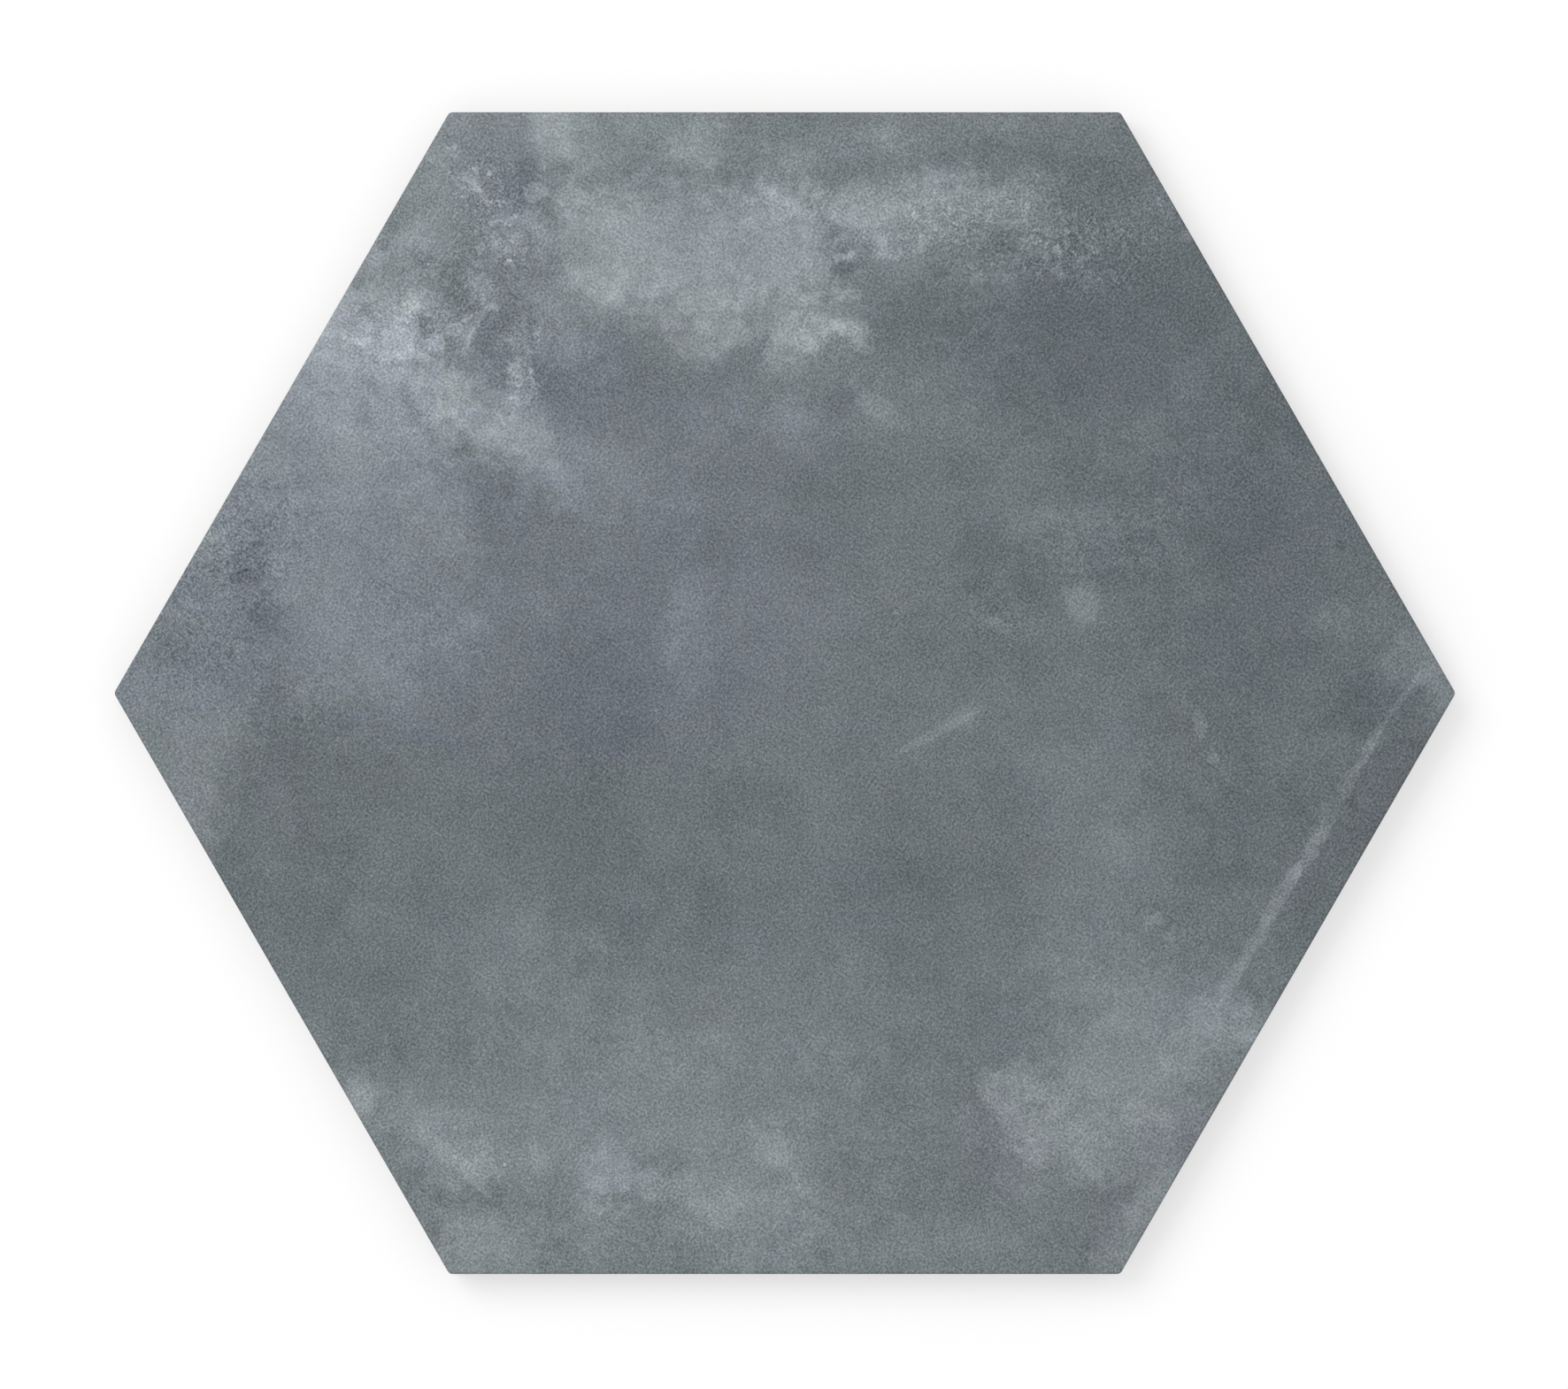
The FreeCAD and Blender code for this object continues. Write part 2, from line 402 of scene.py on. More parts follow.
def honeycomb_tree():
    """Repeats one cell on every place of a six-sided lattice."""
    tree, given = new_tree("pressed_honeycomb", "GeometryNodeTree", [
        ("Geometry", "NodeSocketGeometry", None), ("Pitch", "NodeSocketFloat", 0.029),
        ("Rings", "NodeSocketInt", 4), ("Finish", "NodeSocketMaterial", None)],
        [("Geometry", "NodeSocketGeometry")])
    side = maths(tree, "MULTIPLY", given["Rings"], 2.0)
    count = maths(tree, "ADD", side, 1.0)
    lattice = add(tree, "GeometryNodeMeshGrid", side, side, count, count)
    parts = separated(tree, add(tree, "GeometryNodeInputPosition"))
    slant = maths(tree, "ABSOLUTE", maths(tree, "ADD", parts["X"], parts["Y"]))
    outside = maths(tree, "GREATER_THAN", slant, maths(tree, "ADD", given["Rings"], 0.5))
    lattice = add(tree, "GeometryNodeDeleteGeometry", lattice, outside)
    shifted = maths(tree, "MULTIPLY_ADD", parts["Y"], 0.5, parts["X"])
    spread = add(tree, "ShaderNodeCombineXYZ", maths(tree, "MULTIPLY", shifted, given["Pitch"]),
                 maths(tree, "MULTIPLY", maths(tree, "MULTIPLY", parts["Y"], SLANT),
                       given["Pitch"]))
    lattice = add(tree, "GeometryNodeSetPosition", lattice, named={"Position": spread})
    cells = add(tree, "GeometryNodeInstanceOnPoints", lattice,
                named={"Instance": given["Geometry"]})
    cells = add(tree, "GeometryNodeRealizeInstances", cells)
    cells = add(tree, "GeometryNodeMergeByDistance", cells, named={"Distance": WELD})
    cells = add(tree, "GeometryNodeSetMaterial", cells, named={"Material": given["Finish"]})
    finish_tree(tree, Geometry=cells)
    return tree


def cell_mesh(sizes):
    """One cell of the back with half of the ribs round it."""
    mouth = sizes.cell_width / 2
    deep = sizes.key_depth
    foot = mouth - deep * math.tan(sizes.key_draft)
    pitch = (sizes.cell_width + sizes.rib_width) / 2
    section = rounded_section([(pitch, 0.0), (mouth, 0.0, MOUTH_ROUNDING),
                               (foot, deep, FOOT_ROUNDING), (foot * 0.9, deep)], CELL_EDGE_STEPS)
    mesh = bmesh.new()
    loops = []
    for across, height in section:
        rounding = sizes.cell_corner_radius + across - mouth if across < pitch else 0
        places = hexagon_loop(across, rounding, height, CELL_SIDE_STEPS, CELL_CORNER_STEPS,
                              TURN / 2)
        loops.append([mesh.verts.new(place) for place in places])
    for first, second in zip(loops, loops[1:]):
        bridge(mesh, first, second, BACK)
    middle = mesh.verts.new((0, 0, deep))
    for index, vertex in enumerate(loops[-1]):
        mesh.faces.new((vertex, loops[-1][(index + 1) % len(loops[-1])], middle))
    cell = bpy.data.meshes.new("back_cell")
    mesh.to_mesh(cell)
    mesh.free()
    return cell


def tile_mesh(sizes, finishes):
    """The whole tile as one closed mesh: face, arris, sides, bevel, rim and honeycomb."""
    per_side = 2 ** (sizes.face_splits - 1)
    half = sizes.across_flats / 2
    thick = sizes.thickness
    face = evaluated_mesh("glazed_face", bpy.data.meshes.new("sheet"), face_tree(), {
        "Reach": (half - SHEET_INSET) / SLANT, "Splits": sizes.face_splits, "Height": thick,
        "Depth": sizes.ripple_depth, "Width": sizes.ripple_size, "Seed": sizes.seed,
        "Finish": finishes[FACE]})
    back = evaluated_mesh("pressed_honeycomb", cell_mesh(sizes), honeycomb_tree(), {
        "Pitch": sizes.cell_width + sizes.rib_width, "Rings": sizes.cell_rings,
        "Finish": finishes[BACK]})

    mesh = bmesh.new()
    mesh.from_mesh(face)
    face_faces = list(mesh.faces)
    for polygon in face_faces:
        polygon.material_index = FACE
    mesh.from_mesh(back)
    back_faces = list(mesh.faces)[len(face_faces):]
    for polygon in back_faces:
        polygon.material_index = BACK

    lean = math.tan(sizes.side_draft)
    bevel = sizes.back_bevel
    side_foot = (thick - bevel) * lean
    section = rounded_section([
        (BAND_INSET, thick), (0.0, thick, sizes.arris_radius),
        (side_foot, bevel, sizes.worn_edge), (side_foot + bevel, 0.0, sizes.worn_edge),
        (side_foot + bevel + RIM_INSET, 0.0)], EDGE_STEPS)
    arris_end = 1 + EDGE_STEPS
    loops = []
    for inset, height in section:
        places = hexagon_loop(half - inset, sizes.corner_radius - inset, height, per_side,
                              CORNER_STEPS, 0)
        loops.append([mesh.verts.new(place) for place in places])
    border = border_loop(mesh, face_faces)
    layers = (mesh.verts.layers.float_vector[PRINT], mesh.verts.layers.float[FLECKED])
    for place in range(len(loops[0])):
        nearest = min(border, key=lambda v: (v.co - loops[0][place].co).length_squared)
        for loop in loops:
            for layer in layers:
                loop[place][layer] = nearest[layer]
    for number, (first, second) in enumerate(zip(loops, loops[1:])):
        bridge(mesh, first, second, FACE if number < arris_end else BODY)
    fill_between(mesh, loop_edges(mesh, border) + loop_edges(mesh, loops[0]), (0, 0, 1), FACE)
    rim = set(border_loop(mesh, back_faces))
    rim_edges = [edge for edge in mesh.edges
                 if len(edge.link_faces) == 1 and set(edge.verts) <= rim]
    fill_between(mesh, rim_edges + loop_edges(mesh, loops[-1]), (0, 0, -1), BACK)

    bmesh.ops.remove_doubles(mesh, verts=mesh.verts, dist=TINY)
    bmesh.ops.recalc_face_normals(mesh, faces=mesh.faces)
    loose = [edge for edge in mesh.edges if len(edge.link_faces) != 2]
    if loose:
        raise RuntimeError(f"{len(loose)} edges of the tile's mesh aren't closed")
    for polygon in mesh.faces:
        polygon.smooth = True
    tile = bpy.data.meshes.new("fired_tile")
    mesh.to_mesh(tile)
    mesh.free()
    return tile


# The print, as marks laid over one another. A mark is: x, y, half length, half width, turn in
# degrees, softness of its edge (0.1 is crisp, 1 fades over its whole width), lightness and
# blueness. Where noise tears a list's edges, the raggedness comes before the lightness. Most
# marks have no blueness.

# Broad levels of tone, with torn edges
ZONES = [
    # broad levels
    (-62, 100, 38, 34, 0, 0.8, 0.2, 13), (-20, 122, 60, 12, 0, 1.2, 0.2, 9),
    (24, 103, 24, 8, 4, 0.8, 0.3, 24), (48, 104, 12, 8, 0, 1, 0.4, 11),
    (25, 93, 24, 9, 0, 1, 0.3, 7), (30, 118, 36, 12, 0, 1.2, 0.2, 9),
    (-96, 66, 24, 26, 0, 0.8, 0.2, 17), (-97, 32, 30, 30, 0, 0.8, 0.2, 15),
    (-88, 6, 26, 16, 0, 0.8, 0.2, 8), (-113, 18, 5, 20, 8, 0.9, 0.5, -9),
    (-131, 0, 20, 26, 0, 0.7, 0.2, 11), (-20, 70, 30, 12, 0, 1, 0.2, 4),
    (-42, 47, 20, 9, -12, 1, 0.2, 10), (0, 16, 18, 14, 0, 1.2, 0.2, 4),
    (-42, -5, 14, 16, 0, 1.2, 0.2, -5), (82, 78, 42, 30, -10, 0.9, 0.2, -9),
    (108, 28, 30, 44, 0, 0.9, 0.2, -7), (60, 40, 15, 12, 0, 1, 0.2, 4),
    (66, -34, 14, 24, 0, 1, 0.2, 5), (76, -78, 26, 20, 20, 0.9, 0.2, 13),
    (-35, -96, 62, 24, 0, 0.9, 0.2, 11), (0, -102, 16, 12, 0, 1, 0.2, 6),
    (-58, -56, 16, 9, 0, 1, 0.3, 6), (28, -40, 14, 10, 0, 1, 0.3, -4),
    (-105, -22, 20, 16, 0, 1, 0.2, -3), (30, -121, 32, 6, 0, 1.2, 0.2, 8),
    (10, 45, 12, 7, 0, 1, 0.2, -3),
    # where the print is bluer or warmer
    (-98, 45, 40, 48, 0, 0.5, 0.3, 0, 1), (-38, 60, 28, 20, 0, 0.5, 0.3, 0, 1),
    (-18, 20, 26, 28, 0, 0.5, 0.3, 0, 0.9), (-60, 108, 10, 18, 20, 0.5, 0.4, 0, 0.4),
    (-55, 5, 30, 20, 0, 0.6, 0.3, 0, 0.8), (66, 74, 30, 16, 0, 0.8, 0.4, 0, 0.4),
    (104, 36, 22, 30, 0, 0.9, 0.5, 0, 0.4), (-8, 97, 30, 12, 0, 0.9, 0.5, 0, 0.4),
    (48, -97, 10, 9, 0, 0.7, 0.5, 0, -0.8), (78, -108, 9, 22, -30, 0.8, 0.4, 0, -0.3),
    (83, -93, 8, 7, 0, 0.8, 0.4, 0, -0.6), (128, -20, 6, 18, -30, 0.9, 0.4, 0, -0.6),
    (112, -38, 5, 10, -30, 0.8, 0.3, 0, -0.5), (-130, 2, 15, 9, 0, 0.8, 0.3, 0, 1),
    (-85, -8, 13, 4, -12, 0.8, 0.3, 0, 1.1), (-34, -11, 11, 6, -20, 0.8, 0.3, 0, 0.8),
    (-46, 3, 9, 7, -30, 0.8, 0.3, 0, 0.5), (-50, 32, 12, 10, 0, 0.8, 0.3, 0, 0.6),
    (0, 54, 12, 7, 0, 0.8, 0.3, 0, 0.5), (-6, -3, 9, 5, 10, 0.8, 0.3, 0, 0.5),
    (-99, 64, 5, 5, 0, 0.8, 0.3, 0, 0.5), (-64, 91, 9, 5, 0, 0.8, 0.3, 0, 0.4),
    (125, -3, 9, 9, 0, 0.8, 0.3, 0, 0.4), (-27, 74, 9, 6, -20, 0.8, 0.3, 0, -1.1),
    (-60, 52, 11, 4, 0, 0.8, 0.3, 0, -0.6), (-24, 49, 8, 4, 0, 0.8, 0.3, 0, -0.6),
    (-12, 40, 6, 3, 0, 0.8, 0.3, 0, -0.6), (-112, 52, 4, 6, 30, 0.8, 0.3, 0, -0.6),
    (-84, 87, 9, 6, 0, 0.8, 0.3, 0, -0.6), (-70, 73, 5, 5, 0, 0.8, 0.3, 0, -0.6),
    (-54, -14, 6, 6, 0, 0.8, 0.3, 0, -0.5),
]

# Clouds, with torn edges
CLOUDS = [
    (-18, 96, 33, 14, 0, 0.45, 0.35, 22), (2, 96, 12, 14, 0, 0.6, 0.3, 10),
    (-27, 87, 20, 9, -20, 0.4, 0.3, 6), (-17, 78, 9, 7, 0, 0.6, 0.3, 14, -0.3),
    (4, 78, 7, 4.5, 8, 0.6, 0.4, 20), (14, 77, 5, 3, -25, 0.6, 0.5, 18),
    (-28, 87, 2, 4, -10, 0.8, 0.3, 7, 0.6), (-37, 101, 8, 5, 0, 0.9, 0.3, 5),
    (-2, 105, 5, 4, 0, 0.8, 0.3, 7, 0.3), (-50, 121, 5, 7, 0, 0.5, 0.3, 16),
    (-45, 115, 6, 6, 0, 0.8, 0.3, 4, -0.3), (-19, 118, 7, 6, 0, 1, 0.3, 9),
    (-75, 119, 6, 4, 45, 0.8, 0.3, 5), (-59, 106, 6, 7, 0, 0.7, 0.4, -9, 0.4),
    (-61, 116, 8, 8, 0, 0.8, 0.3, -6, 0.2), (-72, 92, 5, 9, 0, 0.8, 0.4, -8),
    (-62, 80, 7, 10, 0, 0.6, 0.4, -14, 0.4), (-84, 93, 6, 3, 0, 0.8, 0.4, -8),
    (-82, 99, 5, 4, 0, 0.9, 0.4, 6), (-53, 92, 6, 10, 0, 0.9, 0.3, -6, 0.3),
    (12, 91, 6, 5, 0, 0.6, 0.4, -6, -0.2), (46, 97, 5, 3.5, 0, 0.7, 0.4, -9),
    (15, 112, 8, 3, 0, 0.9, 0.3, -5), (64, 111, 12, 9, -15, 0.9, 0.3, -4),
    (33, 110, 5, 4, 0, 0.9, 0.3, 7, 0.2), (19, 101, 9, 5, 0, 0.9, 0.3, 5),
    (-125, 32, 4, 4, 0, 0.7, 0.4, 7, -0.6), (-106, 25, 5, 7, 0, 0.9, 0.3, 5),
    (-115, 27, 4, 6, 0, 0.9, 0.4, -5), (-127, 21, 6, 4, 0, 0.8, 0.4, -7, 0.5),
    (-132, 11, 6, 4, -20, 0.8, 0.4, -6, 0.3), (-127, -8, 6, 5, 0, 0.9, 0.3, 5, -0.4),
    (-127, -22, 4, 9, 25, 0.7, 0.3, 8, -0.4), (-20, 11, 4, 12, 0, 0.7, 0.2, 6, 0.2),
    (-18, 23, 5, 5, 0, 0.8, 0.3, 4, 0.3), (-13, 31, 6, 3, 0, 0.9, 0.3, -4),
    (43, 30, 6, 8, 20, 0.7, 0.4, -7), (51, 21, 4, 4, 0, 0.8, 0.4, -5),
    (25, 12, 9, 5, 0, 0.9, 0.4, -4), (64, 19.5, 4.5, 5, 0, 0.5, 0.3, 10, -0.2),
    (68, 24, 3, 3, 0, 0.8, 0.3, -5), (135, 7, 7, 6, 0, 0.6, 0.3, 13),
    (140, 2, 4, 4, 0, 0.8, 0.3, 6), (118, 15, 5, 4, 0, 0.9, 0.3, 5, -0.3),
    (122, -3, 7, 5, 0, 0.9, 0.3, -4), (128, -19, 6, 9, -30, 0.8, 0.3, -8),
    (112, -12, 9, 3, 10, 0.9, 0.3, 6), (90, 66, 5, 4, 0, 0.9, 0.3, 5),
    (34, 68, 8, 3, 0, 1, 0.3, 4), (12, 62.5, 3.5, 3, 0, 0.6, 0.3, -9, 0.6),
    (0, 59, 5, 6, 0, 1, 0.3, 8, 0.3), (2, 70, 5, 3, 0, 0.9, 0.3, 7),
    (72, -32, 7, 9, 0, 0.9, 0.4, 4), (62, -15, 8, 5, 0, 0.9, 0.3, 4),
    (97, -75, 6, 6, 0, 0.8, 0.3, 7), (92, -68, 6, 5, 0, 0.8, 0.3, 5, 0.3),
    (48, -85, 6, 5, 0, 0.5, 0.3, 14, -0.2), (60, -94, 9, 6, 0, 0.8, 0.4, 9),
    (82, -88, 7, 5, 20, 0.9, 0.4, 7, 0.3), (67, -102, 6, 3, 30, 0.8, 0.4, 7),
    (56, -99, 5, 3, 0, 0.9, 0.4, 5), (64, -116, 4, 8, 10, 0.8, 0.3, -5),
    (78, -112, 4, 11, -30, 0.8, 0.3, 6), (-70, -98, 7, 4, -35, 0.7, 0.4, 14),
    (-79, -91, 6, 4, -30, 0.8, 0.4, 8), (-64, -101, 7, 4, -10, 0.8, 0.4, 6),
    (43.5, -93.5, 4.5, 4.5, 0, 0.6, 0.4, -7, -0.8), (-92, -87, 4, 3, 0, 0.7, 0.4, 17, -0.3),
    (-76, -106, 8, 5, -40, 0.8, 0.3, -10), (-54, -110, 12, 3.5, 0, 0.9, 0.3, -8),
    (-67, -118, 8, 6, 0, 0.7, 0.3, 9), (-57, -121, 6, 4, 0, 0.9, 0.3, 6),
    (-39, -103, 5.5, 5, 0, 0.6, 0.3, 13, 0.4), (-38, -112, 6, 4, 0, 0.9, 0.4, 7),
    (-28, -100, 5, 4, 0, 0.9, 0.4, -6), (-15, -108, 8, 6, 0, 0.8, 0.3, 7),
    (-4, -96, 4.5, 5, 0, 0.5, 0.3, 8), (4, -107, 4, 3, -25, 0.9, 0.4, 5),
    (-10, -120, 14, 5, 0, 1, 0.3, -3), (-45, -118, 14, 5, 0, 1, 0.3, -4),
    (-90, -76, 5, 6, 30, 0.9, 0.4, 6), (-84, -64, 9, 5, -20, 1, 0.3, -4),
]

# Smaller patches, frayed but not torn
PATCHES = [
    # chalky bloom by the upper left side
    (-85, 77, 8, 5.5, -8, 0.5, 9, 0.2), (-83.5, 75.5, 4, 4, 0, 0.5, 7, 0.2),
    (-80.4, 83.6, 2.2, 2.6, 0, 0.4, 18, -0.3), (-81.5, 73.2, 2.6, 2, -10, 0.4, 6, 0.2),
    (-75.3, 75.4, 2.1, 2, 30, 0.2, 18), (-77.8, 72, 1.4, 0.9, 0, 0.4, 14),
    (-77.2, 78.6, 1.8, 2.4, 0, 0.4, -13, -0.2), (-72, 74, 1.4, 4, 0, 0.4, -15, -0.3),
    (-71.3, 78, 1.8, 1.8, 0, 0.4, 14), (-68, 78.3, 2.4, 3, 0, 0.4, 12, -0.3),
    (-73, 61, 3, 2, 25, 0.4, 13, -0.3), (-70, 66, 5, 3, -50, 0.6, 8, -0.6),
    (-71, 88, 2.8, 5, 15, 0.5, -10, -0.1), (-66.3, 88, 3.4, 2.8, 0, 0.4, 14),
    (-57.5, 77, 2.6, 2.6, 0, 0.5, 13), (-56.8, 66.5, 3.2, 5, 10, 0.25, 14, 0.2),
    (-65, 51.5, 7, 1.8, -35, 0.6, -8, -0.6), (-62.8, 82.7, 1.3, 0.9, 0, 0.3, 16),
    (-46, 75.6, 2.2, 3.2, 0, 0.4, 5), (-51.5, 77.5, 1.8, 1.6, 0, 0.4, 4),
    (-41, 73.5, 1.6, 2, 0, 0.4, 6), (-61.4, 70.6, 1.8, 1.1, 0, 0.4, -9),
    (-89.5, 86, 2.6, 1.6, 30, 0.4, 8), (-92, 76.5, 3, 1.4, 0, 0.4, 8, 0.2),
    (-70.5, 58.6, 7, 0.7, -40, 0.4, 8, -0.2),
    # the torn corner of the light cloud
    (-65.2, 107.4, 3.4, 0.8, -50, 0.3, 12), (-46, 107, 3.6, 2.4, 0, 0.6, 7, -0.2),
    (-61.5, 95.8, 2, 1.8, 0, 0.4, 7, 0.3), (-57.6, 98, 2, 1.4, -20, 0.4, 9, 0.2),
    (-87, 93.8, 2.4, 1.4, 30, 0.4, 9), (-81, 98, 2.4, 1.8, 0, 0.4, 8),
    (-67.3, 110, 3.2, 1.3, -50, 0.3, 19, -0.3), (-53.5, 107.6, 2.6, 2, 20, 0.25, 20, -0.6),
    (-58, 106, 2.6, 3.4, 0, 0.5, -8, 0.4), (-50.5, 104.8, 3.4, 2.2, -40, 0.5, -11, -0.2),
    (-49, 112.5, 3, 1.8, 0, 0.6, -10), (-55.5, 113, 3.4, 1.6, -20, 0.6, -9, -0.3),
    (-59.5, 101.8, 4, 1.3, -12, 0.4, 14, 0.2), (-54.7, 101.6, 2.6, 1.2, -50, 0.4, 14, -0.2),
    (-71, 116.5, 2.4, 1.4, -40, 0.4, 12), (-85, 99.5, 2, 4, -20, 0.5, -9, -0.1),
    (-77.6, 93.4, 2.4, 1.6, 0, 0.5, -12),
    # crisp bits on the cloud's right
    (20.5, 97, 1.6, 1.2, 0, 0.4, 11), (23.6, 94, 2.2, 1.2, 20, 0.4, 9),
    (29.6, 96.5, 0.8, 2.4, 0, 0.4, 11), (52.4, 97.4, 1.8, 1, -20, 0.3, 10),
    (57.2, 99.2, 1.2, 1.6, 0, 0.4, 10), (47.6, 100.8, 2.4, 1, 20, 0.4, 8),
    (63.6, 92.4, 1.4, 1, 0, 0.4, 9), (49, 110.2, 1.8, 1.4, 0, 0.4, 8),
    (22, 121, 2.4, 1.2, 0, 0.4, 8), (33, 91, 2.6, 2, 0, 0.5, -6),
    (47.4, 95.6, 2.4, 1.6, 0, 0.4, -7), (61.5, 97, 1.8, 1.6, 0, 0.4, -6),
    (12.6, 93.8, 2.2, 1.2, 20, 0.3, 20, 0.2), (13, 96.4, 2.4, 1.3, 0, 0.5, -12),
    (13, 91.5, 3, 1.3, 0, 0.5, -12, 0.3), (14.2, 85.5, 2.2, 1.6, 0, 0.4, 12),
    (33.6, 111.6, 2.4, 1.6, 0, 0.5, 10, 0.4), (27.5, 103, 1.2, 1.8, 0, 0.5, 5, 0.2),
    (9.5, 78.5, 3, 1.6, 10, 0.5, 9), (17, 74.5, 2, 1.1, -40, 0.5, 10),
    (-7.8, 106, 1.8, 1.2, 30, 0.5, 10), (-4, 108.6, 2.8, 1.2, 0, 0.5, 9, 0.2),
    (-7.6, 100.8, 2, 1, -30, 0.5, 10), (41, 89, 1.4, 1.2, 0, 0.5, 11),
    (66, 88.6, 2, 1.6, 0, 0.6, 9), (58.5, 90.7, 2, 1, -20, 0.5, 11),
    (55, 95.8, 5, 1.8, -12, 0.6, 11), (86, 98.2, 1.5, 1.2, 0, 0.5, 16, -0.8),
    (19.5, 62, 4.5, 2.4, -25, 0.6, 11),
    # lower half
    (-53, -99.5, 1.8, 4, 0, 0.5, 7), (-1, -99.5, 6.5, 2.6, -50, 0.35, 6),
    (-71.5, -100, 7, 2, -40, 0.35, 5), (-40.5, -103, 3.4, 4.6, 0, 0.3, 4, 0.1),
    (-33.5, -103.2, 3, 3, 0, 0.35, 5), (-34.5, -108.6, 3.4, 0.9, 0, 0.4, -6),
    (-40, -111, 3, 1.2, 0, 0.4, 5), (44, -85.4, 3, 1.8, -20, 0.3, 6),
    (42.8, -86, 2.8, 1.1, -40, 0.3, 7), (49.6, -97.6, 2.6, 1.2, -35, 0.3, 6),
    (-28.5, -103.4, 2.2, 1.5, 0, 0.5, 6), (-28.8, -108.6, 1.8, 1.4, 0, 0.5, 8),
    (4.5, -107.5, 3.4, 1, -35, 0.5, 7),
    # the long drag by the right side
    (125.8, -11.6, 6.4, 1.2, 60, 0.45, 16), (121.4, -19, 5, 1.2, 60, 0.5, 12),
    (116, -28, 7, 1.8, 60, 0.7, 8), (112.2, -34.6, 7, 0.9, 60, 0.5, 15),
    (115, -32.6, 6, 0.6, 60, 0.5, 11, 0.3), (106.8, -43.5, 7.5, 1.6, 60, 0.4, 15),
    (101, -53.6, 7, 1.4, 60, 0.5, 14), (95.6, -62.4, 6, 1.6, 60, 0.7, 11),
    (46, 14.5, 3.4, 1.6, -35, 0.4, 12), (41.5, 17.6, 2.4, 1, -20, 0.5, 7),
    (116, 15.4, 1.6, 2, 0, 0.5, 7), (121.5, 17.5, 2, 1.4, 0, 0.5, 6),
    (73, 28.4, 2.6, 1, -20, 0.5, 7), (58, 38.5, 2.4, 1.6, 0, 0.5, 6),
    (61.5, 33, 1.4, 2.2, 0, 0.5, 6), (79, 36.5, 1.8, 1.4, 0, 0.5, 6),
    # by the left corner
    (-121.5, 27.5, 4, 0.8, -40, 0.5, 8), (-124.5, 33, 2, 1.6, 0, 0.5, 8, -0.4),
    (-116.5, 25, 2.4, 2, 0, 0.5, -7, 0.3), (-113, 17.5, 1.6, 2.4, 0, 0.5, -7, 0.3),
    (-104, 45.5, 1.8, 2.2, 0, 0.5, -6), (-129, 14, 2.4, 1.4, 0, 0.5, -7, 0.3),
    (-109.5, 27.5, 1.8, 2.6, 0, 0.4, 6), (64.6, 20, 4, 4.6, 10, 0.35, 8),
    (79.3, -48.8, 2.2, 1.4, 10, 0.3, 16), (77.8, -51, 1, 1.2, 0, 0.4, 8),
    (82.8, -53, 1.2, 1, 0, 0.5, 8), (89.2, -6.4, 1.2, 3.2, 10, 0.35, 15),
    (86.6, -1.6, 0.7, 2.4, 30, 0.5, 8), (92.2, -14.2, 1.6, 1.3, 0, 0.35, 15),
    (67, -88.8, 2, 1.8, 0, 0.6, -7),
]

